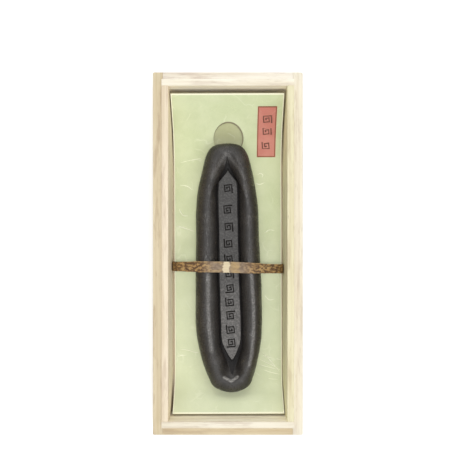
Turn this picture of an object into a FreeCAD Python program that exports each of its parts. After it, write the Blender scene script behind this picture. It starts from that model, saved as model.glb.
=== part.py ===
"""Boxed ink stick: a moulded stick of calligraphy ink lying on a paper-covered card cradle,
held by a bamboo-sheath strap, in the base of a paulownia-wood box with a standing inner lip.

Frame: millimetres, +Z up, origin at the centre of the box's underside. +Y points to the
head of the box, where the finger notch and the paper label are, and +X to the label's side.
"""
import FreeCAD, Part
import math
import os
import re
import Sketcher

V = FreeCAD.Vector
ORIGIN = (-1, 1)
START, END, CENTRE = 1, 2, 3

SIZES = [
    # alias, value in millimetres or degrees, meaning
    ("box_width", 75.0, "outside width of the box"),
    ("box_length", 181.4, "outside length of the box"),
    ("base_thick", 4.5, "bottom board"),
    ("wall_thick", 5.0, "side and end boards"),
    ("wall_rise", 20.5, "side and end boards, above the bottom board"),
    ("liner_thick", 3.3, "boards of the inner lip"),
    ("lip_rise", 6.0, "how far the lip stands above the walls"),
    ("corner_ease", 0.8, "rounding of the box's outer corners"),
    ("edge_ease", 0.35, "rounding of the lip's and the walls' top edges"),
    ("peg_diameter", 2.0, "wooden pegs"),
    ("base_peg_length", 11.0, "pegs through the bottom board into the walls"),
    ("corner_peg_length", 10.0, "pegs through the corner fingers"),
    ("side_peg_pitch", 50.0, "spacing of the base pegs along a side wall"),
    ("end_peg_pitch", 28.0, "spacing of the base pegs along an end wall"),
    ("cradle_gap", 0.1, "cradle above the bottom board"),
    ("cradle_width", 56.8, "width of the card cradle"),
    ("cradle_side", 0.1, "middle of the cradle, across the box"),
    ("cradle_turn", 0.2, "turn of the cradle in the box"),
    ("card_thick", 0.9, "grey board of the cradle"),
    ("paper_thick", 0.2, "facing paper and lining paper"),
    ("head_bend_start", 42.0, "from the centre to the start of the head bend"),
    ("head_radius", 40.0, "head bend, at the top of the facing paper"),
    ("head_slope", 42.0, "slope of the head end"),
    ("head_run", 14.8, "straight stretch past the head bend"),
    ("foot_bend_start", 60.5, "from the centre to the start of the foot bend"),
    ("foot_radius", 17.0, "foot bend, at the top of the facing paper"),
    ("foot_slope", 48.0, "slope of the foot end"),
    ("foot_run", 12.0, "straight stretch past the foot bend"),
    ("notch_diameter", 15.1, "finger notch through the card"),
    ("notch_place", 60.1, "centre of the notch, along the box"),
    ("notch_side", 0.27, "centre of the notch, across the box"),
    ("label_thick", 0.12, "paper label"),
    ("label_width", 9.8, "paper label"),
    ("label_side", 20.3, "centre line of the label, across the box"),
    ("label_skip", 13.0, "turn of the head bend below the label"),
    ("label_run", 7.8, "stretch of the label past the head bend"),
    ("stick_thick", 14.0, "ink stick"),
    ("stick_gap", 0.05, "ink stick above the facing paper"),
    ("stick_place", -7.0, "middle of the stick, along the box"),
    ("stick_side", 0.1, "middle of the stick, across the box"),
    ("stick_turn", 1.0, "turn of the stick in the box"),
    ("head_half", 10.7, "half width at the head corners"),
    ("head_corner", 60.5, "from the stick's middle to its head corners"),
    ("upper_half", 16.05, "half width where the head taper ends"),
    ("upper_corner", 35.5, "from the stick's middle to the end of the head taper"),
    ("belly_half", 17.5, "half width where the foot taper starts"),
    ("belly_corner", 36.0, "from the stick's middle to the start of the foot taper"),
    ("foot_half", 10.9, "half width at the foot corners"),
    ("foot_corner", 60.0, "from the stick's middle to its foot corners"),
    ("end_reach", 64.65, "from the stick's middle to the tip of either end"),
    ("end_half", 4.2, "half width of the blunt tip at either end"),
    ("tip_round", 8.0, "rounding of the blunt tips, in plan"),
    ("end_round", 6.8, "rounding of the four corners, in plan"),
    ("taper_round", 35.0, "rounding where a taper starts, in plan"),
    ("top_round", 6.0, "rounding of the upper edge"),
    ("under_round", 4.0, "rounding of the lower edge"),
    ("head_relief_start", 45.0, "from the stick's middle to the rise of its underside"),
    ("head_relief_radius", 40.0, "rise of the underside at the head"),
    ("foot_relief_start", 50.0, "from the stick's middle to the rise of its underside"),
    ("foot_relief_radius", 22.0, "rise of the underside at the foot"),
    ("panel_depth", 4.2, "depth of the sunken panel"),
    ("panel_shoulder", 40.4, "from the stick's middle to where the panel narrows"),
    ("panel_point", 48.5, "from the stick's middle to the panel's points"),
    ("rim_half", 6.9, "half width of the recess around the panel"),
    ("rim_ease", 1.6, "bevel of the recess's rim"),
    ("strap_thick", 0.4, "bamboo-sheath strap"),
    ("strap_width", 5.8, "bamboo-sheath strap"),
    ("strap_reach", 29.05, "from the centre to the outside of the tucked ends"),
    ("strap_crown", 11.0, "half width of the strap's flat crown"),
    ("strap_slope", 16.0, "fall of the strap beside the stick"),
    ("strap_shoulder", 12.0, "bend between the crown and the fall"),
    ("strap_corner", 6.0, "bend beside the wall"),
    ("strap_tail", 5.8, "length of a tucked end below the bend"),
    ("strap_place", -7.2, "middle of the strap, along the box"),
    ("strap_turn", -1.3, "turn of the strap in the box"),
    ("strap_gap", 0.1, "strap above the crest of the stick"),
]

doc = FreeCAD.newDocument("BoxedInkStick")
sheet = doc.addObject("Spreadsheet::Sheet", "Sizes")
for row, (alias, number, meaning) in enumerate(SIZES, start=1):
    sheet.set(f"A{row}", meaning)
    sheet.set(f"B{row}", str(number))
    sheet.setAlias(f"B{row}", alias)
doc.recompute()

ALIASES = {alias for alias, _, _ in SIZES}
parts = []

# Heights that several pieces share, as formulas.
BOARD_TOP = "(base_thick)"
FACE_TOP = "(base_thick + cradle_gap + 2 * paper_thick + card_thick)"
STICK_FOOT = f"({FACE_TOP} + stick_gap)"
STRAP_FACE = f"({STICK_FOOT} + stick_thick + strap_gap)"


# ---------------------------------------------------------------- formulas and bindings

def scoped(formula):
    """The formula with each alias written as a cell of the sheet."""
    def name(match):
        word = match.group(0)
        return f"Sizes.{word}" if word in ALIASES else word
    return re.sub(r"[A-Za-z_]+", name, formula)


def value(formula):
    """The number that a formula of aliases gives."""
    return float(sheet.evalExpression(scoped(formula)))


def bind(thing, prop, formula):
    """Binds a property to a formula of aliases."""
    thing.setExpression(prop, scoped(formula))


def place(thing, x="0", y="0", z="0", turn=None):
    """Binds the place of a sub-part, and its turn about the vertical."""
    for axis, formula in zip("xyz", (x, y, z)):
        bind(thing, f".Placement.Base.{axis}", formula)
    if turn is not None:
        thing.Placement = FreeCAD.Placement(thing.Placement.Base, FreeCAD.Rotation(V(0, 0, 1), 1))
        bind(thing, ".Placement.Rotation.Angle", turn)


# ---------------------------------------------------------------- sketches

def new_body(label):
    """A body that becomes one sub-part."""
    body = doc.addObject("PartDesign::Body", label)
    body.Label = label
    parts.append(body)
    return body


def new_sketch(body, name, role, offset="0"):
    """A sketch on one of the body's origin planes, moved along the plane's normal."""
    sketch = body.newObject("Sketcher::SketchObject", name)
    plane = next(f for f in body.Origin.OriginFeatures if f.Role == role)
    sketch.AttachmentSupport = [(plane, "")]
    sketch.MapMode = "FlatFace"
    bind(sketch, ".AttachmentOffset.Base.z", offset)
    return sketch


def drive(sketch, formula, kind, *ends):
    """Adds a dimension to a sketch and binds it to a formula."""
    number = value(formula)
    amount = math.radians(number) if kind == "Angle" else number
    index = sketch.addConstraint(Sketcher.Constraint(kind, *ends, amount))
    name = f"d{index}"
    sketch.renameConstraint(index, name)
    bind(sketch, f"Constraints.{name}", f"({formula}) * 1 deg" if kind == "Angle" else formula)


def pin(sketch, geometry, point, x, y):
    """Holds a point of a sketch at two formulas from the sketch's origin."""
    drive(sketch, x, "DistanceX", *ORIGIN, geometry, point)
    drive(sketch, y, "DistanceY", *ORIGIN, geometry, point)


def join(sketch, first, second, first_end=END, second_end=START):
    """Joins the end of one edge to the start of the next."""
    sketch.addConstraint(Sketcher.Constraint("Coincident", first, first_end, second, second_end))


def polygon(sketch, corners):
    """A closed outline of straight edges through corners given as pairs of formulas."""
    points = [V(value(x), value(y), 0) for x, y in corners]
    first = sketch.GeometryCount
    count = len(points)
    for i in range(count):
        sketch.addGeometry(Part.LineSegment(points[i], points[(i + 1) % count]), False)
    for i, (x, y) in enumerate(corners):
        join(sketch, first + i, first + (i + 1) % count)
        pin(sketch, first + i, START, x, y)


def rectangle(sketch, x0, x1, y0, y1):
    """An outline of four edges between four formulas."""
    polygon(sketch, [(x0, y0), (x1, y0), (x1, y1), (x0, y1)])


def circles(sketch, centres, diameter):
    """Equal circles about centres given as pairs of formulas."""
    for i, (x, y) in enumerate(centres):
        circle = Part.Circle(V(value(x), value(y), 0), V(0, 0, 1), value(diameter) / 2)
        sketch.addGeometry(circle, False)
        pin(sketch, i, CENTRE, x, y)
        if i:
            sketch.addConstraint(Sketcher.Constraint("Equal", 0, i))
    drive(sketch, diameter, "Diameter", 0)


class Strip:
    """The section of a bent strip: tangent lines and arcs, and the same path one thickness away.

    The path starts at a point and a heading, and goes on in steps: ("line", length) or
    ("arc", radius, turn), where a turn to the left has sign 1 and to the right sign -1.
    The second path lies to the left of the first.
    """

    def __init__(self, sketch, start, heading, thick, steps):
        self.sketch = sketch
        self.thick = thick
        self.steps = steps
        self.begin = V(value(start[0]), value(start[1]), 0)
        self.heading = value(heading)
        side = self.side_of(self.heading) * value(thick)
        cap = self.add(Part.LineSegment(self.begin, self.begin + side))
        pin(sketch, cap, START, *start)
        drive(sketch, f"{heading} + 90", "Angle", cap)
        drive(sketch, thick, "Distance", cap)
        near = self.path(cap, START, "0")
        far = self.path(cap, END, thick)
        close = self.add(Part.LineSegment(near[1], far[1]))
        self.meet(near[0], close, START)
        self.meet(far[0], close, END)

    @staticmethod
    def side_of(angle):
        """The unit vector to the left of a heading."""
        return V(-math.sin(math.radians(angle)), math.cos(math.radians(angle)), 0)

    def add(self, curve):
        """Adds an edge and gives its number."""
        return self.sketch.addGeometry(curve, False)

    def meet(self, last, edge, point):
        """Joins a point of an edge to the end of a path."""
        self.sketch.addConstraint(Sketcher.Constraint("Coincident", *last, edge, point))

    def path(self, cap, cap_end, shift):
        """Draws one of the two paths, shifted to the left, and gives its end."""
        at = self.begin + self.side_of(self.heading) * value(shift)
        angle = self.heading
        last = (cap, cap_end)
        for number, step in enumerate(self.steps):
            if step[0] == "line":
                edge, last_point, at = self.line(at, angle, step[1])
            else:
                edge, last_point, first_point, at, angle = self.arc(at, angle, shift, *step[1:])
            begin = START if step[0] == "line" else first_point
            self.link(number, cap, last, edge, begin, step[0])
            last = (edge, last_point)
        return last, at

    def link(self, number, cap, last, edge, begin, kind):
        """Joins an edge to the one before it: square to the cap, or tangent."""
        if number:
            self.sketch.addConstraint(Sketcher.Constraint("Tangent", *last, edge, begin))
            return
        self.meet(last, edge, begin)
        if kind == "line":
            self.sketch.addConstraint(Sketcher.Constraint("Perpendicular", cap, edge))
        else:
            self.sketch.addConstraint(Sketcher.Constraint("PointOnObject", edge, CENTRE, cap))

    def line(self, at, angle, length):
        """A straight step."""
        ahead = V(math.cos(math.radians(angle)), math.sin(math.radians(angle)), 0)
        end = at + ahead * value(length)
        edge = self.add(Part.LineSegment(at, end))
        drive(self.sketch, length, "Distance", edge)
        return edge, END, end

    def arc(self, at, angle, shift, radius, turn, sign):
        """A round step; arcs run anticlockwise, so a turn to the right ends at its start."""
        radius = f"({radius} - ({shift}) * {sign})"
        centre = at + self.side_of(angle) * (sign * value(radius))
        new_angle = angle + sign * value(turn)
        end = centre - self.side_of(new_angle) * (sign * value(radius))
        first, second = sorted((angle - sign * 90, new_angle - sign * 90))
        circle = Part.Circle(centre, V(0, 0, 1), value(radius))
        edge = self.add(Part.ArcOfCircle(circle, math.radians(first), math.radians(second)))
        drive(self.sketch, radius, "Radius", edge)
        drive(self.sketch, turn, "Angle", edge)
        if sign > 0:
            return edge, END, START, end, new_angle
        return edge, START, END, end, new_angle


# ---------------------------------------------------------------- features

def pad(body, sketch, length, midplane=False):
    """Pads a sketch along its normal, or half of the length to each side."""
    feature = body.newObject("PartDesign::Pad", f"{sketch.Name}_pad")
    feature.Profile = sketch
    if midplane:
        feature.SideType = "Symmetric"
    bind(feature, "Length", length)
    doc.recompute()
    return feature


def pocket(body, sketch, length, reverse=False, midplane=False, taper=None):
    """Cuts a sketch into the body, and stops if that removes nothing."""
    before = body.Shape.Volume
    feature = body.newObject("PartDesign::Pocket", f"{sketch.Name}_cut")
    feature.Profile = sketch
    feature.Reversed = reverse
    if midplane:
        feature.SideType = "Symmetric"
    bind(feature, "Length", length)
    if taper is not None:
        bind(feature, "TaperAngle", taper)
    doc.recompute()
    if body.Shape.Volume > before - 1e-3:
        raise RuntimeError(f"{feature.Label} cuts nothing")
    return feature


def dress(body, kind, name, amount, wanted):
    """Rounds or bevels the edges of the body's tip that a test picks."""
    tip = body.Tip
    names = [f"Edge{i}" for i, edge in enumerate(tip.Shape.Edges, start=1) if wanted(edge)]
    if not names:
        raise RuntimeError(f"{name} finds no edge")
    feature = body.newObject(f"PartDesign::{kind}", name)
    feature.Base = (tip, names)
    bind(feature, "Radius" if kind == "Fillet" else "Size", amount)
    doc.recompute()
    return feature


def fillet(body, name, radius, wanted):
    """Rounds the edges of the body's tip that a test picks."""
    return dress(body, "Fillet", name, radius, wanted)


def edge_box(edge):
    """The lowest and highest corners of an edge."""
    box = edge.BoundBox
    return V(box.XMin, box.YMin, box.ZMin), V(box.XMax, box.YMax, box.ZMax)


def lies_at(edge, axis, level, slack=0.01):
    """Whether all of an edge lies at one level of an axis (0, 1 or 2)."""
    low, high = edge_box(edge)
    return abs(low[axis] - level) < slack and abs(high[axis] - level) < slack


def is_within(edge, half_wide, half_long):
    """Whether an edge lies inside a rectangle centred on the origin, seen from above."""
    low, high = edge_box(edge)
    across = max(abs(low.x), abs(high.x)) < half_wide + 0.01
    return across and max(abs(low.y), abs(high.y)) < half_long + 0.01


# ---------------------------------------------------------------- the wooden box

HALF_W = "(box_width / 2)"
HALF_L = "(box_length / 2)"
FINGER = "(wall_rise / 3)"
WALL_TOP = "(base_thick + wall_rise)"
LIP_TOP = "(base_thick + wall_rise + lip_rise)"


def finger_heights():
    """The four heights that bound the three corner fingers."""
    return [f"({BOARD_TOP} + {k} * {FINGER})" for k in range(4)]


def wall_outline(outer, middle):
    """A wall seen flat: it reaches outer at its lower and upper thirds, and middle between."""
    z0, z1, z2, z3 = finger_heights()
    right = [(outer, z0), (outer, z1), (middle, z1), (middle, z2), (outer, z2), (outer, z3)]
    left = [(f"-{x}", z) for x, z in reversed(right)]
    return right + left


def is_corner(edge):
    """Whether an edge is one of the box's four outer corners."""
    return lies_at(edge, 0, math.copysign(value(HALF_W), edge.BoundBox.XMin)) and lies_at(
        edge, 1, math.copysign(value(HALF_L), edge.BoundBox.YMin))


def peg_places():
    """Centres of the base pegs, as pairs of formulas."""
    across = f"({HALF_W} - wall_thick / 2)"
    along = f"({HALF_L} - wall_thick / 2)"
    sides = [(f"{s} * {across}", f"{k} * side_peg_pitch") for s in (-1, 1) for k in (-1.5, -0.5, 0.5, 1.5)]
    ends = [(f"{k} * end_peg_pitch", f"{s} * {along}") for s in (-1, 1) for k in (-0.5, 0.5)]
    return sides, ends


def corner_pegs_at():
    """Heights of the corner pegs: the middles of the lower and upper fingers."""
    return [f"({BOARD_TOP} + {k} * {FINGER})" for k in (0.5, 2.5)]


def build_base():
    """Bottom board, bored for its pegs."""
    body = new_body("base_board")
    outline = new_sketch(body, "base_outline", "XY_Plane")
    rectangle(outline, f"-{HALF_W}", HALF_W, f"-{HALF_L}", HALF_L)
    pad(body, outline, "base_thick")
    sides, ends = peg_places()
    holes = new_sketch(body, "base_holes", "XY_Plane")
    circles(holes, sides + ends, "peg_diameter")
    pocket(body, holes, "base_thick", reverse=True)
    fillet(body, "base_corners", "corner_ease", is_corner)


def build_side_wall(label, side):
    """Side wall: it runs to the corners at its lower and upper thirds."""
    body = new_body(label)
    inner = f"({side} * ({HALF_W} - wall_thick / 2) - wall_thick / 2)"
    outline = new_sketch(body, f"{label}_outline", "YZ_Plane", inner)
    polygon(outline, wall_outline(HALF_L, f"({HALF_L} - wall_thick)"))
    pad(body, outline, "wall_thick")
    bore_base(body, label, [p for p in peg_places()[0] if value(p[0]) * side > 0])
    bores = new_sketch(body, f"{label}_bores", "YZ_Plane", inner)
    along = f"({HALF_L} - wall_thick / 2)"
    centres = [(f"{s} * {along}", z) for s in (-1, 1) for z in corner_pegs_at()]
    circles(bores, centres, "peg_diameter")
    pocket(body, bores, "wall_thick", reverse=True)
    fillet(body, f"{label}_corners", "corner_ease", is_corner)
    ease_top(body, label, WALL_TOP)


def build_end_wall(label, end):
    """End wall: only its middle third runs to the corners."""
    body = new_body(label)
    outer = f"(-({end}) * ({HALF_L} - wall_thick / 2) - wall_thick / 2)"
    outline = new_sketch(body, f"{label}_outline", "XZ_Plane", outer)
    polygon(outline, wall_outline(f"({HALF_W} - wall_thick)", HALF_W))
    pad(body, outline, "wall_thick")
    bore_base(body, label, [p for p in peg_places()[1] if value(p[1]) * end > 0])
    along = f"({end} * ({HALF_L} - wall_thick / 2))"
    for side in (-1, 1):
        middle = f"{side} * ({HALF_W} - (wall_thick + corner_peg_length) / 2)"
        tip = f"({middle} - (corner_peg_length - wall_thick) / 2)"
        bores = new_sketch(body, f"{label}_bores{'L' if side < 0 else 'R'}", "YZ_Plane", tip)
        circles(bores, [(along, z) for z in corner_pegs_at()], "peg_diameter")
        pocket(body, bores, "corner_peg_length - wall_thick", reverse=True)
    fillet(body, f"{label}_corners", "corner_ease", is_corner)
    ease_top(body, label, WALL_TOP)


def bore_base(body, label, centres):
    """Blind holes in a wall's underside for the base pegs."""
    holes = new_sketch(body, f"{label}_holes", "XY_Plane", BOARD_TOP)
    circles(holes, centres, "peg_diameter")
    pocket(body, holes, "base_peg_length - base_thick", reverse=True)


def ease_top(body, label, level):
    """Eases the long straight edges along the top of a board."""
    shortest = value("wall_thick") + 1
    fillet(body, f"{label}_ease", "edge_ease",
           lambda edge: lies_at(edge, 2, value(level)) and edge.Length > shortest)


def build_liner(label, x0, x1, y0, y1):
    """One board of the inner lip, standing on the bottom board."""
    body = new_body(label)
    outline = new_sketch(body, f"{label}_outline", "XY_Plane", BOARD_TOP)
    rectangle(outline, x0, x1, y0, y1)
    pad(body, outline, "wall_rise + lip_rise")
    ease_top(body, label, LIP_TOP)


def build_liners():
    """The head and foot liners run the full width; the side liners stand between them."""
    out_w = f"({HALF_W} - wall_thick)"
    in_w = f"({HALF_W} - wall_thick - liner_thick)"
    out_l = f"({HALF_L} - wall_thick)"
    in_l = f"({HALF_L} - wall_thick - liner_thick)"
    build_liner("left_liner", f"-{out_w}", f"-{in_w}", f"-{in_l}", in_l)
    build_liner("right_liner", in_w, out_w, f"-{in_l}", in_l)
    build_liner("head_liner", f"-{out_w}", out_w, in_l, out_l)
    build_liner("foot_liner", f"-{out_w}", out_w, f"-{out_l}", f"-{in_l}")


def add_group(label, solids):
    """A group of equal separate solids as one sub-part."""
    group = doc.addObject("Part::Feature", label)
    group.Label = label
    group.Shape = Part.makeCompound(solids)
    group.Placement = FreeCAD.Placement()
    parts.append(group)


def build_pegs():
    """The wooden pegs of the bottom board and of the corner fingers."""
    radius = value("peg_diameter") / 2
    sides, ends = peg_places()
    add_group("base_pegs", [
        Part.makeCylinder(radius, value("base_peg_length"), V(value(x), value(y), 0))
        for x, y in sides + ends
    ])
    side, end = value(HALF_W), value(f"{HALF_L} - wall_thick / 2")
    add_group("corner_pegs", [
        Part.makeCylinder(radius, value("corner_peg_length"), V(s * side, t * end, value(z)), V(-s, 0, 0))
        for s in (-1, 1) for t in (-1, 1) for z in corner_pegs_at()
    ])


# ---------------------------------------------------------------- the card cradle

HEAD_RISE = "(head_radius * (1 - cos(head_slope)) + head_run * sin(head_slope))"
FOOT_RISE = "(foot_radius * (1 - cos(foot_slope)) + foot_run * sin(foot_slope))"
FOOT_SPAN = "(foot_radius * sin(foot_slope) + foot_run * cos(foot_slope))"


def cradle_strip(sketch, depth, thick):
    """The cradle's side view from foot to head, for a layer whose underside is at a depth
    below the top of the facing paper."""
    start = (
        f"-(foot_bend_start + {FOOT_SPAN} + ({depth}) * sin(foot_slope))",
        f"{FACE_TOP} + {FOOT_RISE} - ({depth}) * cos(foot_slope)",
    )
    steps = [
        ("line", "foot_run"),
        ("arc", f"(foot_radius + {depth})", "foot_slope", 1),
        ("line", "head_bend_start + foot_bend_start"),
        ("arc", f"(head_radius + {depth})", "head_slope", 1),
        ("line", "head_run"),
    ]
    Strip(sketch, start, "-foot_slope", thick, steps)


def cut_notch(body, label):
    """The finger notch, a round hole seen from above."""
    sketch = new_sketch(body, f"{label}_notch", "XY_Plane", BOARD_TOP)
    circles(sketch, [("notch_side", "notch_place")], "notch_diameter")
    pocket(body, sketch, "wall_rise + lip_rise", reverse=True)


def build_cradle_layer(label, depth, thick, notched):
    """One layer of the cradle: the facing paper, the card or the lining paper."""
    body = new_body(label)
    sketch = new_sketch(body, f"{label}_section", "YZ_Plane")
    cradle_strip(sketch, depth, thick)
    pad(body, sketch, "cradle_width", midplane=True)
    if notched:
        cut_notch(body, label)
    place(body, "cradle_side", turn="cradle_turn")


def build_label():
    """The paper label, on the slope beside the notch."""
    body = new_body("label")
    sketch = new_sketch(body, "label_section", "YZ_Plane", "label_side")
    start = (
        "head_bend_start + head_radius * sin(label_skip)",
        f"{FACE_TOP} + head_radius * (1 - cos(label_skip))",
    )
    steps = [("arc", "head_radius", "(head_slope - label_skip)", 1), ("line", "label_run")]
    Strip(sketch, start, "label_skip", "label_thick", steps)
    pad(body, sketch, "label_width", midplane=True)
    place(body, "cradle_side", turn="cradle_turn")


# ---------------------------------------------------------------- the ink stick

def stick_outline(sketch):
    """The stick seen from above: straight tapers between two blunt ends."""
    right = [("end_half", "end_reach"), ("head_half", "head_corner"), ("upper_half", "upper_corner"),
             ("belly_half", "-belly_corner"), ("foot_half", "-foot_corner"), ("end_half", "-end_reach")]
    left = [(f"-{x}", y) for x, y in reversed(right)]
    polygon(sketch, right + left)


def upright_near(x, y):
    """A test for upright edges at a distance from the stick's middle plane and a place along it."""
    def test(edge):
        low, high = edge_box(edge)
        upright = high.z - low.z > value("stick_thick") - 0.01
        return upright and abs(abs(low.x) - value(x)) < 0.05 and abs(low.y - value(y)) < 0.05
    return test


def round_outline(body):
    """Rounds the outline's corners, seen from above."""
    corners = [
        ("stick_tip_round", "tip_round", [("end_half", "end_reach"), ("end_half", "-end_reach")]),
        ("stick_end_round", "end_round", [("head_half", "head_corner"), ("foot_half", "-foot_corner")]),
        ("stick_taper_round", "taper_round",
         [("upper_half", "upper_corner"), ("belly_half", "-belly_corner")]),
    ]
    for name, radius, places in corners:
        tests = [upright_near(x, y) for x, y in places]
        fillet(body, name, radius, lambda edge: any(test(edge) for test in tests))


def cut_relief(body, name, start, radius, end):
    """Lifts the underside towards one end, along an arc that leaves the flat smoothly."""
    sketch = new_sketch(body, name, "YZ_Plane")
    run = value("end_reach") + 1 - value(start)
    rise = value(radius) - math.sqrt(value(radius) ** 2 - run ** 2)
    toe = V(end * value(start), 0, 0)
    far = V(end * (value(start) + run), rise, 0)
    mid_run = run / 2
    mid = V(end * (value(start) + mid_run), value(radius) - math.sqrt(value(radius) ** 2 - mid_run ** 2), 0)
    below = V(far.x, 0, 0)
    curve = sketch.addGeometry(Part.Arc(toe, mid, far), False)
    drop = sketch.addGeometry(Part.LineSegment(far, below), False)
    back = sketch.addGeometry(Part.LineSegment(below, toe), False)
    # An arc's own start is its end that an anticlockwise sweep leaves.
    toe_end, far_end = (START, END) if end > 0 else (END, START)
    join(sketch, curve, drop, far_end, START)
    join(sketch, drop, back)
    join(sketch, back, curve, END, toe_end)
    sketch.addConstraint(Sketcher.Constraint("Horizontal", back))
    sketch.addConstraint(Sketcher.Constraint("Vertical", drop))
    pin(sketch, back, END, f"{end} * {start}", "0")
    drive(sketch, f"{end} * {start}", "DistanceX", *ORIGIN, curve, CENTRE)
    drive(sketch, radius, "Radius", curve)
    drive(sketch, f"{end} * (end_reach + 1)", "DistanceX", *ORIGIN, drop, END)
    pocket(body, sketch, "4 * belly_half", midplane=True)


def build_stick():
    """The moulded stick: eased edges, ends lifted off the bends, and a sunken panel."""
    body = new_body("ink_stick")
    outline = new_sketch(body, "stick_outline", "XY_Plane")
    stick_outline(outline)
    pad(body, outline, "stick_thick")
    round_outline(body)
    top = value("stick_thick")
    fillet(body, "stick_top_round", "top_round", lambda edge: lies_at(edge, 2, top))
    fillet(body, "stick_under_round", "under_round", lambda edge: lies_at(edge, 2, 0.0))
    cut_relief(body, "stick_head_relief", "head_relief_start", "head_relief_radius", 1)
    cut_relief(body, "stick_foot_relief", "foot_relief_start", "foot_relief_radius", -1)
    recess = new_sketch(body, "stick_recess", "XY_Plane", "stick_thick")
    right = [("rim_half", "panel_shoulder"), ("rim_half", "-panel_shoulder")]
    left = [(f"-{x}", y) for x, y in reversed(right)]
    polygon(recess, [("0", "panel_point"), *right, ("0", "-panel_point"), *left])
    pocket(body, recess, "panel_depth")
    reach = (value("rim_half"), value("panel_point"))
    dress(body, "Chamfer", "stick_rim", "rim_ease",
          lambda edge: lies_at(edge, 2, top) and is_within(edge, *reach))
    place(body, "stick_side", "stick_place", STICK_FOOT, "stick_turn")


# ---------------------------------------------------------------- the strap

def build_strap():
    """The springy strip of bamboo sheath, arched over the stick with its ends tucked down
    between the cradle and the side liners."""
    body = new_body("strap")
    sketch = new_sketch(body, "strap_section", "XZ_Plane")
    fall_across = "(strap_shoulder * sin(strap_slope) + strap_corner * (1 - sin(strap_slope)))"
    fall = f"((strap_reach - strap_crown - {fall_across}) / cos(strap_slope))"
    corner_drop = "(strap_corner * cos(strap_slope) + strap_shoulder * (1 - cos(strap_slope)))"
    crown_top = f"({STRAP_FACE} + strap_thick)"
    bend_foot = f"({crown_top} - {corner_drop} - {fall} * sin(strap_slope))"
    start = ("strap_reach", f"{bend_foot} - strap_tail")
    steps = [
        ("line", "strap_tail"),
        ("arc", "strap_corner", "(90 - strap_slope)", 1),
        ("line", fall),
        ("arc", "strap_shoulder", "strap_slope", 1),
        ("line", "2 * strap_crown"),
        ("arc", "strap_shoulder", "strap_slope", 1),
        ("line", fall),
        ("arc", "strap_corner", "(90 - strap_slope)", 1),
        ("line", "strap_tail"),
    ]
    Strip(sketch, start, "90", "strap_thick", steps)
    pad(body, sketch, "strap_width", midplane=True)
    place(body, "0", "strap_place", "0", "strap_turn")


# ---------------------------------------------------------------- build, check and write

def check_document():
    """Stops at any object that failed and any sub-part without a good solid."""
    doc.recompute()
    for thing in doc.Objects:
        bad = [state for state in thing.State if state in ("Invalid", "Error")]
        if bad:
            raise RuntimeError(f"{thing.Label} is {bad}")
    for part in parts:
        if part.Shape.isNull() or not part.Shape.isValid() or not part.Shape.Solids:
            raise RuntimeError(f"{part.Label} has no good solid")


def main():
    """Builds every sub-part, checks them and writes one STEP file for each."""
    build_base()
    build_side_wall("left_wall", -1)
    build_side_wall("right_wall", 1)
    build_end_wall("head_wall", 1)
    build_end_wall("foot_wall", -1)
    build_liners()
    build_pegs()
    build_cradle_layer("cradle_lining", "(2 * paper_thick + card_thick)", "paper_thick", False)
    build_cradle_layer("cradle_card", "(paper_thick + card_thick)", "card_thick", True)
    build_cradle_layer("cradle_paper", "paper_thick", "paper_thick", True)
    build_label()
    build_stick()
    build_strap()
    check_document()
    os.makedirs("parts", exist_ok=True)
    for part in parts:
        part.Shape.exportStep(f"parts/{part.Label}.step")
        box = part.Shape.BoundBox
        low = (round(box.XMin, 2), round(box.YMin, 2), round(box.ZMin, 2))
        high = (round(box.XMax, 2), round(box.YMax, 2), round(box.ZMax, 2))
        print(f"{part.Label}: {low} to {high}, {part.Shape.Volume / 1000:.2f} cm3")


main()
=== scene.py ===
"""Looks of a boxed ink stick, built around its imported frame.

A moulded stick of ink lies on a paper-covered card cradle in a paulownia box, under a strip of
bamboo sheath. Everything is in metres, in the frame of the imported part: +Z up, +Y to the head.
"""

import logging
import math
from dataclasses import dataclass
from enum import Enum
from typing import Callable, Iterable, Sequence

import bmesh
import bpy
from mathutils import Matrix, Vector, noise


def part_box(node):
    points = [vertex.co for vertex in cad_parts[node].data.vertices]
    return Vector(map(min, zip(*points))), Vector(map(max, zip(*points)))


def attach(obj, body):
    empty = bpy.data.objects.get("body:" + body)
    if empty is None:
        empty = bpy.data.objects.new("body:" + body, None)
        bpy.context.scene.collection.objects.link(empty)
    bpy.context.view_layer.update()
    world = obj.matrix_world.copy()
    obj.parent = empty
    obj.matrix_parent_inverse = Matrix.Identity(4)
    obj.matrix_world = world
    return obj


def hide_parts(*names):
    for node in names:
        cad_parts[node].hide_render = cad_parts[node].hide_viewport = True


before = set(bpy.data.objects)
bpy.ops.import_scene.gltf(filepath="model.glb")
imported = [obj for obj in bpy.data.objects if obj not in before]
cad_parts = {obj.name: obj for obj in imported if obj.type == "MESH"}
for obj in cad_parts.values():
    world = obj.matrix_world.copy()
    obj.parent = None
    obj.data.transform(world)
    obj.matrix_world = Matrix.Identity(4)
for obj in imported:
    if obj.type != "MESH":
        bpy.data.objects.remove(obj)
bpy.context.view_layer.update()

logging.basicConfig(level=logging.INFO, format="%(name)s: %(message)s")
log = logging.getLogger("ink_box")

MM = 0.001
Point = tuple[float, float]
Color = tuple[float, float, float]
Socket = bpy.types.NodeSocket
Height = Callable[[float, float, float], float]


# ------------------------------------------------------------------ small helpers

def smoothstep(low: float, high: float, x: float) -> float:
    """Rises smoothly from 0 at low to 1 at high."""
    t = min(max((x - low) / (high - low), 0.0), 1.0)
    return t * t * (3.0 - 2.0 * t)


def new_object(name: str, mesh: bpy.types.Mesh) -> bpy.types.Object:
    """Links a mesh to the scene as an object at the origin."""
    thing = bpy.data.objects.new(name, mesh)
    bpy.context.scene.collection.objects.link(thing)
    return thing


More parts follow.
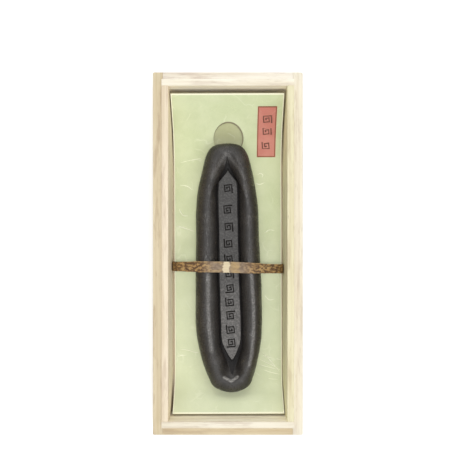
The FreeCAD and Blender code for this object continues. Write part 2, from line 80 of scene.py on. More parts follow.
def mesh_from(name: str, points: Sequence[Vector], faces: Sequence[Sequence[int]]) -> bpy.types.Object:
    """Makes a smooth-shaded object whose doubles are merged and whose faces point outwards.

    Args:
        name: The object's name.
        points: Corner positions, in metres.
        faces: Corner numbers of each face.

    Returns:
        The new object.
    """
    mesh = bpy.data.meshes.new(name)
    mesh.from_pydata([tuple(p) for p in points], [], faces)
    shape = bmesh.new()
    shape.from_mesh(mesh)
    bmesh.ops.remove_doubles(shape, verts=shape.verts, dist=2e-6)
    bmesh.ops.dissolve_degenerate(shape, edges=shape.edges, dist=1e-7)
    bmesh.ops.recalc_face_normals(shape, faces=shape.faces)
    for face in shape.faces:
        face.smooth = True
    shape.to_mesh(mesh)
    shape.free()
    return new_object(name, mesh)


def bake_modifiers(thing: bpy.types.Object) -> None:
    """Turns an object's evaluated shape into its plain mesh and removes its modifiers."""
    graph = bpy.context.evaluated_depsgraph_get()
    graph.update()
    mesh = bpy.data.meshes.new_from_object(thing.evaluated_get(graph))
    thing.modifiers.clear()
    thing.data = mesh


def shade_by_angle(thing: bpy.types.Object, degrees: float) -> None:
    """Shades smooth, with sharp edges where faces meet at more than an angle."""
    shape = bmesh.new()
    shape.from_mesh(thing.data)
    for face in shape.faces:
        face.smooth = True
    for edge in shape.edges:
        bent = len(edge.link_faces) != 2 or edge.calc_face_angle(0.0) > math.radians(degrees)
        edge.smooth = not bent
    shape.to_mesh(thing.data)
    shape.free()


def finish_piece(thing: bpy.types.Object, body: str, stands_for: Iterable[str] = ()) -> None:
    """Ties a finished piece to its body.

    Args:
        thing: The piece.
        body: The body that it rides on.
        stands_for: Nodes of the frame that it stands for.
    """
    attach(thing, body)
    for node in stands_for:
        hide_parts(node)
    log.info("%s rides on %s with %d faces", thing.name, body, len(thing.data.polygons))


# ------------------------------------------------------------------ node writing

class Nodes:
    """Writes nodes into one tree."""

    def __init__(self, tree: bpy.types.NodeTree) -> None:
        """Keeps the tree that is written to."""
        self.tree = tree

    def add(self, kind: str, inputs: dict | None = None, **settings: object) -> bpy.types.Node:
        """Adds a node.

        Args:
            kind: The node's type name.
            inputs: Value or source socket for each input, by its name or number.
            **settings: Properties of the node.

        Returns:
            The new node.
        """
        node = self.tree.nodes.new(kind)
        for key, setting in settings.items():
            setattr(node, key, setting)
        for key, source in (inputs or {}).items():
            if isinstance(source, bpy.types.NodeSocket):
                self.tree.links.new(source, node.inputs[key])
            else:
                node.inputs[key].default_value = source
        return node

    def math(self, operation: str, *terms: Socket | float) -> Socket:
        """Adds a math node and gives its result."""
        return self.add("ShaderNodeMath", dict(enumerate(terms)), operation=operation).outputs[0]

    def vector_math(self, operation: str, *terms: object) -> Socket:
        """Adds a vector math node and gives its vector result."""
        return self.add("ShaderNodeVectorMath", dict(enumerate(terms)), operation=operation).outputs[0]

    def mix(self, amount: Socket | float, first: object, second: object) -> Socket:
        """Mixes two colours by an amount."""
        inputs = {0: amount, 6: opaque(first), 7: opaque(second)}
        return self.add("ShaderNodeMix", inputs, data_type="RGBA", clamp_factor=True).outputs[2]

    def noise(self, vector: Socket, scale: float, detail: float = 2.0, rough: float = 0.5) -> Socket:
        """Gives smooth noise from 0 to 1."""
        inputs = {"Vector": vector, "Scale": scale, "Detail": detail, "Roughness": rough}
        return self.add("ShaderNodeTexNoise", inputs).outputs[0]

    def ramp(self, value: Socket, low: float, high: float) -> Socket:
        """Maps a value smoothly from low and high to 0 and 1."""
        inputs = {"Value": value, "From Min": low, "From Max": high}
        return self.add("ShaderNodeMapRange", inputs, interpolation_type="SMOOTHSTEP").outputs[0]


def opaque(color: object) -> object:
    """Gives a colour its alpha; leaves a socket alone."""
    return (*color, 1.0) if isinstance(color, tuple) and len(color) == 3 else color


def new_group(name: str, kind: str, inputs: dict[str, tuple], outputs: dict[str, str]) -> tuple:
    """Makes a node group with named sockets.

    Args:
        name: The group's name.
        kind: The tree's type name.
        inputs: Socket type and default for each input.
        outputs: Socket type of each output.

    Returns:
        The tree, its writer, its input node and its output node.
    """
    tree = bpy.data.node_groups.new(name, kind)
    for label, (socket_type, default) in inputs.items():
        socket = tree.interface.new_socket(label, in_out="INPUT", socket_type=socket_type)
        if default is not None:
            socket.default_value = default
    for label, socket_type in outputs.items():
        tree.interface.new_socket(label, in_out="OUTPUT", socket_type=socket_type)
    writer = Nodes(tree)
    return tree, writer, writer.add("NodeGroupInput"), writer.add("NodeGroupOutput")


def connect(n: Nodes, node: bpy.types.Node, sources: dict[str, Socket]) -> None:
    """Links sockets to the named inputs of a shader or of a group's output node."""
    for name, source in sources.items():
        n.tree.links.new(source, node.inputs[name])


FLOAT, VECTOR, GEOMETRY = "NodeSocketFloat", "NodeSocketVector", "NodeSocketGeometry"


def grain_group() -> bpy.types.NodeTree:
    """Straight wood grain along the vector's Y: growth bands, fine fibres and short pores."""
    inputs = {"Vector": (VECTOR, None), "Bands": (FLOAT, 320.0), "Wander": (FLOAT, 0.006)}
    outputs = {"Band": FLOAT, "Fibre": FLOAT, "Pore": FLOAT, "Height": FLOAT}
    tree, n, given, result = new_group("wood_grain", "ShaderNodeTree", inputs, outputs)
    place = given.outputs["Vector"]
    slow = n.vector_math("MULTIPLY", place, (1.0, 0.16, 1.0))
    drift = n.math("MULTIPLY", n.math("SUBTRACT", n.noise(slow, 60.0, 3.0), 0.5), given.outputs["Wander"])
    split = n.add("ShaderNodeSeparateXYZ", {0: place})
    across = n.math("ADD", split.outputs[0], n.math("MULTIPLY", split.outputs[2], 0.55))
    turns = n.math("MULTIPLY", n.math("ADD", across, drift), given.outputs["Bands"])
    wave = n.math("ADD", n.math("MULTIPLY", n.math("SINE", n.math("MULTIPLY", turns, math.tau)), 0.5), 0.5)
    band = n.math("POWER", wave, 2.2)
    fibre = n.noise(n.vector_math("MULTIPLY", place, (1.0, 0.025, 1.0)), 1500.0, 4.0, 0.65)
    speck = n.noise(n.vector_math("MULTIPLY", place, (1.0, 0.07, 1.0)), 2600.0, 1.0)
    pore = n.ramp(speck, 0.66, 0.78)
    height = n.math("SUBTRACT", n.math("ADD", n.math("MULTIPLY", fibre, 0.7), n.math("MULTIPLY", band, 0.2)),
                    n.math("MULTIPLY", pore, 0.6))
    connect(n, result, {"Band": band, "Fibre": fibre, "Pore": pore, "Height": height})
    return tree


def tooth_group() -> bpy.types.NodeTree:
    """Paper's tooth: a felted height, cloudy mottling and a mask of fine embedded strands."""
    inputs = {"Vector": (VECTOR, None)}
    outputs = {"Height": FLOAT, "Mottle": FLOAT, "Strand": FLOAT}
    tree, n, given, result = new_group("paper_tooth", "ShaderNodeTree", inputs, outputs)
    place = given.outputs["Vector"]
    felt = n.noise(place, 1800.0, 5.0, 0.7)
    bent = n.add("ShaderNodeTexNoise", {"Vector": place, "Scale": 45.0, "Detail": 3.0}).outputs[1]
    push = n.vector_math("MULTIPLY", n.vector_math("SUBTRACT", bent, (0.5, 0.5, 0.5)), (0.03, 0.03, 0.03))
    warped = n.vector_math("ADD", place, push)
    cells = n.add("ShaderNodeTexVoronoi", {"Vector": warped, "Scale": 75.0}, feature="DISTANCE_TO_EDGE")
    strand = n.math("SUBTRACT", 1.0, n.ramp(cells.outputs[0], 0.0, 0.035))
    patchy = n.ramp(n.noise(place, 110.0, 2.0), 0.52, 0.62)
    mottle = n.noise(place, 70.0, 4.0, 0.6)
    connect(n, result, {"Height": felt, "Mottle": mottle, "Strand": n.math("MULTIPLY", strand, patchy)})
    return tree


def skin_group() -> bpy.types.NodeTree:
    """Skin of moulded ink: leathery lumps, fine pits and worn patches."""
    inputs = {"Vector": (VECTOR, None), "Lump Scale": (FLOAT, 900.0)}
    outputs = {"Height": FLOAT, "WearAndGlint": FLOAT}
    tree, n, given, result = new_group("ink_skin", "ShaderNodeTree", inputs, outputs)
    place = given.outputs["Vector"]
    lumps = n.add("ShaderNodeTexNoise", {"Vector": place, "Detail": 4.0, "Roughness": 0.6})
    n.tree.links.new(given.outputs["Lump Scale"], lumps.inputs["Scale"])
    crease = n.add("ShaderNodeTexVoronoi", {"Vector": place, "Scale": 1100.0}, feature="DISTANCE_TO_EDGE")
    pit = n.math("SUBTRACT", 1.0, n.ramp(n.noise(place, 1700.0, 2.0), 0.28, 0.42))
    wear_and_glint = n.ramp(n.noise(place, 130.0, 5.0, 0.65), 0.42, 0.72)
    creased = n.math("MULTIPLY", n.ramp(crease.outputs[0], 0.0, 0.25), 0.35)
    height = n.math("SUBTRACT", n.math("ADD", lumps.outputs[0], creased), n.math("MULTIPLY", pit, 0.5))
    connect(n, result, {"Height": height, "WearAndGlint": wear_and_glint})
    return tree


# ------------------------------------------------------------------ finishes

class Effects:
    """The shader groups that several finishes share, each built once."""

    grain = grain_group()
    tooth = tooth_group()
    skin = skin_group()


def new_material(name: str) -> tuple[bpy.types.Material, Nodes, bpy.types.Node]:
    """Makes an empty material with its Principled shader.

    Args:
        name: The material's name.

    Returns:
        The material, a writer for its tree, and the shader.
    """
    material = bpy.data.materials.new(name)
    material.use_nodes = True
    n = Nodes(material.node_tree)
    shader = next(node for node in n.tree.nodes if node.type == "BSDF_PRINCIPLED")
    return material, n, shader


def bump(n: Nodes, height: Socket, distance: float, strength: float = 1.0) -> Socket:
    """Makes a normal from a height.

    Args:
        n: The writer.
        height: Height from 0 to 1.
        distance: Depth of the relief, in metres.
        strength: Share of the relief that is used.

    Returns:
        The bump node's normal.
    """
    return n.add("ShaderNodeBump", {"Height": height, "Distance": distance, "Strength": strength}).outputs[0]


def object_place(n: Nodes, offset: Sequence[float] = (0, 0, 0), turn: float = 0.0) -> Socket:
    """Gives Object coordinates, shifted and turned about the vertical."""
    source = n.add("ShaderNodeTexCoord").outputs["Object"]
    inputs = {"Vector": source, "Location": tuple(offset), "Rotation": (0.0, 0.0, turn)}
    return n.add("ShaderNodeMapping", inputs).outputs[0]


class Grain(Enum):
    """Which way a board's grain runs."""

    LENGTHWISE = 0.0
    CROSSWISE = math.pi / 2


@dataclass(frozen=True)
class WoodFinish:
    """Planed paulownia, unvarnished."""

    name: str
    grain: Grain
    offset: Sequence[float]
    mean: Color
    # painted light: how much paler upright faces are painted than level ones
    side: float = 1.0
    streak: float = 0.45
    weather: float = 0.6
    bands: float = 330.0

    def make(self) -> bpy.types.Material:
        """Builds the material."""
        material, n, shader = new_material(self.name)
        place = object_place(n, self.offset, self.grain.value)
        grain = n.add("ShaderNodeGroup", {"Vector": place, "Bands": self.bands}, node_tree=Effects.grain)
        drawn = n.vector_math("MULTIPLY", place, (1.0, 0.13, 1.0))
        streaks = n.math("MULTIPLY", n.ramp(n.noise(drawn, 130.0, 3.0), 0.40, 0.66), self.streak)
        banded = n.math("MULTIPLY", grain.outputs["Band"], 0.30)
        fibrous = n.math("MULTIPLY", n.math("SUBTRACT", grain.outputs["Fibre"], 0.45), 0.7)
        amount = n.math("ADD", n.math("ADD", banded, streaks), fibrous)
        color = n.mix(amount, self.tone(1.10, 1.11, 1.13), self.tone(0.86, 0.80, 0.72))
        weathered = n.noise(n.vector_math("ADD", drawn, (0.31, 0.0, 0.17)), 280.0, 4.0, 0.65)
        weathered = n.math("MULTIPLY", n.ramp(weathered, 0.50, 0.66), self.weather)
        color = n.mix(weathered, color, self.tone(0.78, 0.71, 0.69))
        color = n.mix(n.math("MULTIPLY", grain.outputs["Pore"], 0.4), color, self.tone(0.50, 0.42, 0.32))
        # Painted light: upright faces are painted paler by the side factor.
        facing = n.add("ShaderNodeSeparateXYZ", {0: n.add("ShaderNodeTexCoord").outputs["Normal"]}).outputs[2]
        upright = n.math("SUBTRACT", 1.0, n.ramp(n.math("ABSOLUTE", facing), 0.3, 0.7))
        paler = n.vector_math("SCALE", color)
        paler.node.inputs["Scale"].default_value = self.side
        color = n.mix(upright, color, paler)
        rough = n.math("ADD", n.math("MULTIPLY", grain.outputs["Fibre"], 0.18), 0.56)
        normal = bump(n, grain.outputs["Height"], 0.00012, 0.7)
        connect(n, shader, {"Base Color": color, "Roughness": rough, "Normal": normal})
        shader.inputs["Specular IOR Level"].default_value = 0.3
        return material

    def tone(self, red: float, green: float, blue: float) -> Color:
        """Gives the wood's mean colour, scaled channel by channel."""
        return self.mean[0] * red, self.mean[1] * green, self.mean[2] * blue


@dataclass(frozen=True)
class PaperFinish:
    """Handmade paper, with cloudy colour and embedded strands.

    A pale colour is painted light, blended in between two places along the box, and a
    rim colour is for its cut edges, with a painted highlight along the ends.
    """

    name: str
    base: Color
    cloud: Color
    strand: Color
    strands: float = 0.5
    relief: float = 0.06 * MM
    rim: Color | None = None
    pale: Color | None = None
    painted_light_span: Point = (0.06, -0.06)
    painted_light_share: float = 0.3

    def make(self) -> bpy.types.Material:
        """Builds the material."""
        material, n, shader = new_material(self.name)
        place = object_place(n)
        tooth = n.add("ShaderNodeGroup", {"Vector": place}, node_tree=Effects.tooth)
        color = n.mix(n.ramp(tooth.outputs["Mottle"], 0.35, 0.68), self.base, self.cloud)
        color = n.mix(n.math("MULTIPLY", tooth.outputs["Strand"], self.strands), color, self.strand)
        speckle = n.math("MULTIPLY", n.ramp(tooth.outputs["Height"], 0.3, 0.7), 0.22)
        color = n.mix(speckle, color, tuple(min(c * 1.25, 1.0) for c in self.base))
        # Painted light: paler from one place along the box to another.
        if self.pale is not None:
            light = n.ramp(n.add("ShaderNodeSeparateXYZ", {0: place}).outputs[1], *self.painted_light_span)
            color = n.mix(n.math("MULTIPLY", light, self.painted_light_share), color, self.pale)
        # Pale rim: the paper's own cut edges, with a painted highlight along the ends.
        if self.rim is not None:
            edge = n.add("ShaderNodeAttribute", attribute_name="rim").outputs["Fac"]
            color = n.mix(n.ramp(edge, 0.15, 0.75), color, self.rim)
        height = n.math("ADD", tooth.outputs["Height"], n.math("MULTIPLY", tooth.outputs["Strand"], 0.4))
        rough = n.math("SUBTRACT", 0.92, n.math("MULTIPLY", tooth.outputs["Strand"], 0.2))
        normal = bump(n, height, self.relief, 0.8)
        connect(n, shader, {"Base Color": color, "Roughness": rough, "Normal": normal})
        shader.inputs["Specular IOR Level"].default_value = 0.2
        return material


@dataclass(frozen=True)
class InkFinish:
    """Hard dry ink: almost black, with a soft gloss where hands and the mould have worn it smooth.

    A fade says between which places along the box it grows lighter, partly with a dusty bloom and
    partly as painted sheen, and a painted glint colour is for the highlights painted along the crests and the
    clefts' rims.
    """

    name: str
    base: Color
    worn: Color
    rough: float
    lump_scale: float = 900.0
    relief: float = 0.12 * MM
    gloss: float = 0.5
    glint: float = 0.0
    painted_glint: Color | None = None
    fade: Point | None = None

    def make(self) -> bpy.types.Material:
        """Builds the material."""
        material, n, shader = new_material(self.name)
        place = object_place(n)
        inputs = {"Vector": place, "Lump Scale": self.lump_scale}
        skin = n.add("ShaderNodeGroup", inputs, node_tree=Effects.skin)
        dusty = n.ramp(n.noise(place, self.lump_scale * 0.8, 3.0, 0.7), 0.46, 0.62)
        amount = n.math("ADD", n.math("MULTIPLY", skin.outputs["WearAndGlint"], 0.5), n.math("MULTIPLY", dusty, 0.4))
        # Lighter toward the foot: partly a dusty bloom, partly painted sheen.
        if self.fade is not None:
            dust_and_sheen = n.ramp(n.add("ShaderNodeSeparateXYZ", {0: place}).outputs[1], *self.fade)
            speckle = n.math("MULTIPLY", dusty, n.math("ADD", n.math("MULTIPLY", dust_and_sheen, 0.42), 0.22))
            amount = n.math("ADD", speckle, n.math("ADD", n.math("MULTIPLY", dust_and_sheen, 0.34), 0.115))
        color = n.mix(amount, self.base, self.worn)
        rough = n.math("SUBTRACT", self.rough + 0.06, n.math("MULTIPLY", skin.outputs["WearAndGlint"], 0.14))
        rough = n.math("SUBTRACT", rough, n.math("MULTIPLY", dusty, self.glint))
        # Painted highlights: paler along the lines of the glint attribute.
        if self.painted_glint is not None:
            wear_and_glint = n.add("ShaderNodeAttribute", attribute_name="wear_and_glint").outputs["Fac"]
            grains = n.ramp(n.noise(place, 1500.0, 2.0), 0.40, 0.66)
            patchy = n.math("ADD", n.math("MULTIPLY", grains, 0.75), 0.35)
            color = n.mix(n.math("MULTIPLY", wear_and_glint, patchy), color, self.painted_glint)
        normal = bump(n, skin.outputs["Height"], self.relief, 0.8)
        connect(n, shader, {"Base Color": color, "Roughness": rough, "Normal": normal})
        shader.inputs["Specular IOR Level"].default_value = self.gloss
        return material


@dataclass(frozen=True)
class SheathFinish:
    """Dried bamboo sheath: golden, with dark brown blotches drawn out along the strip."""

    name: str
    gold: Color = (0.36, 0.22, 0.08)
    # Greyer tone across the crown: painted sheen.
    sheen_grey: Color = (0.23, 0.165, 0.105)
    brown: Color = (0.055, 0.024, 0.010)
    cream: Color = (0.60, 0.505, 0.335)
    straw: Color = (0.43, 0.295, 0.12)
    middle: float = 38.7 * MM

    def spot(self, n: Nodes, run: Socket, centre: float, half: float) -> Socket:
        """Masks a patch of the strip around a place along it."""
        aside = n.math("ABSOLUTE", n.math("SUBTRACT", run, self.middle + centre))
        return n.math("SUBTRACT", 1.0, n.ramp(aside, 0.6 * half, 1.3 * half))

    def make(self) -> bpy.types.Material:
        """Builds the material."""
        material, n, shader = new_material(self.name)
        along = n.add("ShaderNodeUVMap", uv_map="along").outputs[0]
        turned = n.add("ShaderNodeMapping", {"Vector": along, "Rotation": (0.0, 0.0, math.pi / 2)}).outputs[0]
        grain = n.add("ShaderNodeGroup", {"Vector": turned, "Bands": 1400.0}, node_tree=Effects.grain)
        drawn = n.vector_math("MULTIPLY", along, (0.6, 1.0, 1.0))
        wobble = n.math("MULTIPLY", n.math("SUBTRACT", n.noise(along, 500.0, 3.0), 0.5), 5 * MM)
        run = n.math("ADD", n.add("ShaderNodeSeparateXYZ", {0: along}).outputs[0], wobble)
        # Painted sheen: the crown is painted greyer, and its blotches fainter.
        centre = self.spot(n, run, 0.0, 11 * MM)
        spread = n.math("SUBTRACT", n.noise(drawn, 820.0, 5.0, 0.66), n.math("MULTIPLY", centre, 0.03))
        depth = n.math("SUBTRACT", 0.92, n.math("MULTIPLY", centre, 0.45))
        blotch = n.math("MULTIPLY", n.ramp(spread, 0.44, 0.54), depth)
        color = n.mix(centre, self.gold, self.sheen_grey)
        strawy = n.math("MULTIPLY", n.ramp(n.noise(drawn, 330.0, 2.0), 0.5, 0.62), 0.5)
        color = n.mix(strawy, color, self.straw)
        color = n.mix(blotch, color, self.brown)
        color = n.mix(self.spot(n, run, -0.9 * MM, 1.55 * MM), color, self.cream)
        color = n.mix(n.math("MULTIPLY", self.spot(n, run, 3.9 * MM, 2.4 * MM), 0.5), color, self.straw)
        color = n.mix(n.math("MULTIPLY", grain.outputs["Fibre"], 0.3), color, self.brown)
        rough = n.math("ADD", n.math("MULTIPLY", grain.outputs["Fibre"], 0.2), 0.42)
        normal = bump(n, grain.outputs["Height"], 0.00008, 0.6)
        connect(n, shader, {"Base Color": color, "Roughness": rough, "Normal": normal})
        shader.inputs["Specular IOR Level"].default_value = 0.35
        return material


# ------------------------------------------------------------------ the wooden box

@dataclass
class WoodenBox:
    """The box: its boards are the frame's own nodes, dressed one by one.

    The lip's upright faces are painted paler than its top, by a factor: painted light on its inner faces.
    """

    inner: float = 1.45

    def finishes(self) -> dict[str, WoodFinish]:
        """Gives each board its own cut of wood."""
        long, cross = Grain.LENGTHWISE, Grain.CROSSWISE
        wood, inner, peg = WoodFinish, self.inner, (0.42, 0.30, 0.17)
        return {
            "base_board": wood("base_wood", long, (0.3, 0.1, 0.2), (0.60, 0.50, 0.35)),
            "left_wall": wood("left_wall_wood", long, (0.11, 0.4, 0.0), (0.53, 0.46, 0.32), weather=0.8),
            "right_wall": wood("right_wall_wood", long, (0.53, 0.2, 0.1), (0.60, 0.555, 0.45), streak=0.3),
            "head_wall": wood("head_wall_wood", cross, (0.71, 0.3, 0.2), (0.66, 0.62, 0.54), weather=0.9),
            "foot_wall": wood("foot_wall_wood", cross, (0.97, 0.1, 0.3), (0.51, 0.43, 0.29), streak=0.7),
            "left_liner": wood("left_lip_wood", long, (1.13, 0.6, 0.1), (0.62, 0.54, 0.41), inner),
            "right_liner": wood("right_lip_wood", long, (1.31, 0.7, 0.2), (0.58, 0.54, 0.36), inner),
            "head_liner": wood("head_lip_wood", cross, (1.57, 0.8, 0.0), (0.69, 0.65, 0.54), inner),
            "foot_liner": wood("foot_lip_wood", cross, (1.79, 0.9, 0.4), (0.63, 0.585, 0.475), inner),
            "base_pegs": wood("peg_wood", cross, (2.0, 0.5, 0.1), peg),
            "corner_pegs": wood("corner_peg_wood", long, (2.3, 0.5, 0.1), peg),
        }

    def dress(self) -> None:
        """Puts the finishes on the boards and pegs."""
        for node, finish in self.finishes().items():
            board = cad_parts[node]
            board.data.materials.clear()
            board.data.materials.append(finish.make())
            log.info("%s is dressed in %s", node, finish.name)


# ------------------------------------------------------------------ the card cradle

@dataclass
class Cradle:
    """The bowed card with its facing and lining papers and its notch; PaperTrim lays the fibres and the label
    on it.
    """

    top: float = 0.0
    width: float = 56.8 * MM
    side: float = 0.1 * MM
    turn: float = math.radians(0.2)
    head_start: float = 42.0 * MM
    head_radius: float = 40.0 * MM
    head_slope: float = math.radians(42.0)
    head_run: float = 14.8 * MM
    foot_start: float = 60.5 * MM
    foot_radius: float = 17.0 * MM
    foot_slope: float = math.radians(48.0)
    foot_run: float = 12.0 * MM
    paper: float = 0.2 * MM
    card: float = 0.9 * MM
    notch_radius: float = 7.55 * MM
    notch: Point = (0.27 * MM, 60.1 * MM)
    arc_steps: int = 36
    flat_steps: int = 60
    across_steps: int = 48
    run_steps: int = 8
    rim_side: float = 0.8 * MM
    rim_head: float = 1.2 * MM
    rim_foot: float = 2.6 * MM

    def __post_init__(self) -> None:
        """Takes the height of the facing paper from the frame."""
        low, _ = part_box("cradle_lining")
        self.top = low[2] + 2 * self.paper + self.card

    def lay(self, spot: Vector) -> Vector:
        """Moves a point from the cradle's own place to where it lies in the box."""
        return Matrix.Rotation(self.turn, 3, "Z") @ spot + Vector((self.side, 0, 0))

    def path(self, depth: float) -> list[tuple[Vector, Vector]]:
        """Side view from foot to head, at a depth below the facing paper.

        Args:
            depth: Distance below the top of the facing paper.

        Returns:
            Places (0, y, z) with the unit vector away from the card's upper side.
        """
        spots: list[tuple[Vector, Vector]] = []
        turns = ((-1, self.foot_start, self.foot_radius, self.foot_slope, self.foot_run, self.rim_foot),
                 (1, self.head_start, self.head_radius, self.head_slope, self.head_run, self.rim_head))
        for end, start, radius, slope, run, rim in turns:
            centre = Vector((0, end * start, self.top + radius))
            bend = []
            for i in range(self.arc_steps + 1):
                angle = slope * i / self.arc_steps
                out = Vector((0, end * math.sin(angle), -math.cos(angle)))
                bend.append((centre + out * (radius + depth), -out))
            ahead = Vector((0, end * math.cos(slope), math.sin(slope)))
            last, up = bend[-1]
            shares = [i / self.run_steps for i in range(1, self.run_steps + 1)]
            shares = sorted([*shares[:-1], 1.0 - rim / run, 1.0])
            bend += [(last + ahead * run * share, up) for share in shares]
            if end < 0:
                spots += list(reversed(bend))
                level = self.top - depth
                span = self.head_start + self.foot_start
                flat = [-start + span * i / self.flat_steps for i in range(1, self.flat_steps)]
                spots += [(Vector((0, y, level)), Vector((0, 0, 1))) for y in flat]
            else:
                spots += bend
        return spots

    def layer(self, name: str, depth: float, thick: float, wave: float) -> bpy.types.Object:
        """Builds one layer as a closed sheet.

        Args:
            name: The object's name.
            depth: Depth of its upper side below the facing paper's.
            thick: Its thickness.
            wave: Height of the slow unevenness of its upper side.

        Returns:
            The new object, turned as it lies in the box.
        """
        upper, lower = self.path(depth), self.path(depth + thick)
        half = self.width / 2
        inner = half - self.rim_side
        across = [inner * (2 * i / self.across_steps - 1) for i in range(self.across_steps + 1)]
        across = [-half, *across, half]
        columns = len(across)
        points: list[Vector] = []
        for rail, is_upper in ((upper, True), (lower, False)):
            for spot, up in rail:
                for x in across:
                    place = spot + Vector((x, 0, 0))
                    if is_upper:
                        fade = 1.0 - abs(x / half) ** 6
                        place = place + up * wave * fade * noise.noise(place * 70.0)
                    points.append(self.lay(place))
        faces = sheet_faces(len(upper), columns)
        return mesh_from(name, points, faces)

    def mark_rim(self, sheet: bpy.types.Object) -> None:
        """Stores where the sheet's cut edges are, for the finish's pale rim, which is also a painted
        highlight along the ends.
        """
        back = Matrix.Rotation(-self.turn, 3, "Z")
        rail = self.path(0.0)
        foot, head = rail[0][0].y, rail[-1][0].y
        edge = sheet.data.attributes.new("rim", "FLOAT", "POINT")
        for vertex, value in zip(sheet.data.vertices, edge.data):
            spot = back @ (vertex.co - Vector((self.side, 0, 0)))
            at_side = abs(spot.x) > self.width / 2 - 0.4 * self.rim_side
            at_end = spot.y < foot + 0.3 * self.rim_foot or spot.y > head - 0.3 * self.rim_head
            value.value = 1.0 if at_side or at_end else 0.0

    def cut_notch(self, sheet: bpy.types.Object, spare: float) -> None:
        """Cuts the finger notch through a layer.

        Args:
            sheet: The layer.
            spare: How much wider the hole is, mostly on its right.
        """
        shape = bmesh.new()
        spot = Vector((self.notch[0] + 0.8 * spare, self.notch[1] + 0.3 * spare, self.top + 10 * MM))
        radius = self.notch_radius + spare
        bmesh.ops.create_cone(shape, cap_ends=True, segments=96, radius1=radius, radius2=radius,
                              depth=40 * MM, matrix=Matrix.Translation(self.lay(spot)))
        mesh = bpy.data.meshes.new("notch_punch")
        shape.to_mesh(mesh)
        shape.free()
        punch = new_object("notch_punch", mesh)
        cut = sheet.modifiers.new("notch", "BOOLEAN")
        cut.object = punch
        cut.operation = "DIFFERENCE"
        cut.solver = "EXACT"
        bake_modifiers(sheet)
        bpy.data.objects.remove(punch)

    def ease(self, sheet: bpy.types.Object, width: float) -> None:
        """Rounds a layer's edges a little."""
        bevel = sheet.modifiers.new("ease", "BEVEL")
        bevel.width = width
        bevel.segments = 2
        bevel.limit_method = "ANGLE"
        bevel.angle_limit = math.radians(50)
        bake_modifiers(sheet)
        shade_by_angle(sheet, 35)

    @staticmethod
    def finishes() -> tuple[PaperFinish, PaperFinish, PaperFinish, PaperFinish]:
        """The facing paper, the lining's two sides and the board between them."""
        return (
            # The facing paper is painted paler toward the foot, as painted light; its rim colour is its own
            # cut edge with a painted highlight along the ends.
            PaperFinish("green_paper", (0.530, 0.580, 0.358), (0.600, 0.642, 0.424), (0.76, 0.78, 0.60), 0.40,
                        rim=(0.88, 0.87, 0.68), pale=(0.76, 0.79, 0.64)),
            # The lining's darker colours are painted shade inside the notch; its pale colour, toward the
            # stick's head, is painted light.
            PaperFinish("lining_paper", (0.385, 0.395, 0.22), (0.45, 0.46, 0.275), (0.60, 0.60, 0.43), 0.5,
                        pale=(0.62, 0.63, 0.44), painted_light_span=(0.066, 0.054), painted_light_share=0.5),
            PaperFinish("backing_paper", (0.80, 0.77, 0.66), (0.84, 0.82, 0.72), (0.88, 0.86, 0.78), 0.3),
            PaperFinish("grey_board", (0.22, 0.20, 0.13), (0.28, 0.25, 0.17), (0.16, 0.14, 0.09), 0.6),
        )

    def build(self) -> bpy.types.Object:
        """Builds the three layers.

        Returns:
            The facing paper, for what lies on it.
        """
        green, shade, backing, board = self.finishes()
        facing = self.layer("facing_paper", 0.0, self.paper, 0.10 * MM)
        card = self.layer("cradle_board", self.paper, self.card, 0.0)
        lining = self.layer("lining_sheet", self.paper + self.card, self.paper, 0.0)
        # The facing paper's hole is cut wider on its right, so the dark board shows there as a thin line: a
        # painted shadow at the notch's rim.
        self.cut_notch(facing, 0.3 * MM)
        self.cut_notch(card, 0.0)
        for sheet, finish, eased in ((facing, green, 0.05 * MM), (card, board, 0.15 * MM),
                                     (lining, shade, 0.05 * MM)):
            self.ease(sheet, eased)
            sheet.data.materials.clear()
            sheet.data.materials.append(finish.make())
        self.mark_rim(facing)
        lining.data.materials.append(backing.make())
        for face in lining.data.polygons:
            face.material_index = int(face.normal.z < 0.0)
        finish_piece(facing, "cradle", ["cradle_paper"])
        finish_piece(card, "cradle", ["cradle_card"])
        finish_piece(lining, "cradle", ["cradle_lining"])
        return facing


def sheet_faces(rows: int, columns: int) -> list[tuple[int, ...]]:
    """Faces of a closed sheet whose upper grid of points is followed by its lower one."""
    faces: list[tuple[int, ...]] = []
    under = rows * columns
    for r in range(rows - 1):
        for c in range(columns - 1):
            a = r * columns + c
            faces.append((a, a + 1, a + columns + 1, a + columns))
            faces.append((under + a, under + a + columns, under + a + columns + 1, under + a + 1))
    rim = [*range(columns)] + [r * columns + columns - 1 for r in range(1, rows)]
    rim += [(rows - 1) * columns + c for c in reversed(range(columns - 1))]
    rim += [r * columns for r in reversed(range(1, rows - 1))]
    for a, b in zip(rim, rim[1:] + rim[:1]):
        faces.append((a, under + a, under + b, b))
    return faces


def between_corners(p0: Vector, p1: Vector, p2: Vector, p3: Vector, t: float) -> Vector:
    """The place a share t of the way from p1 to p2, on a smooth curve through four corners."""
    return 0.5 * (2 * p1 + (p2 - p0) * t + (2 * p0 - 5 * p1 + 4 * p2 - p3) * t * t
                  + (3 * p1 - p0 - 3 * p2 + p3) * t ** 3)


def smooth_line(corners: Sequence[Vector], steps: int) -> list[Vector]:
    """A smooth curve through some corners."""
    ends = [corners[0] * 2 - corners[1], *corners, corners[-1] * 2 - corners[-2]]
    out = [corners[0]]
    for four in zip(ends, ends[1:], ends[2:], ends[3:]):
        out += [between_corners(*four, step / steps) for step in range(1, steps + 1)]
    return out


# ------------------------------------------------------------------ geometry node trees

def finish_tree(n: Nodes, result: bpy.types.Node, geometry: Socket, material: Socket) -> None:
    """Ends a geometry tree in Realize Instances and Set Material."""
    real = n.add("GeometryNodeRealizeInstances", {0: geometry}).outputs[0]
    dressed = n.add("GeometryNodeSetMaterial", {"Geometry": real, "Material": material}).outputs[0]
    n.tree.links.new(dressed, result.inputs[0])


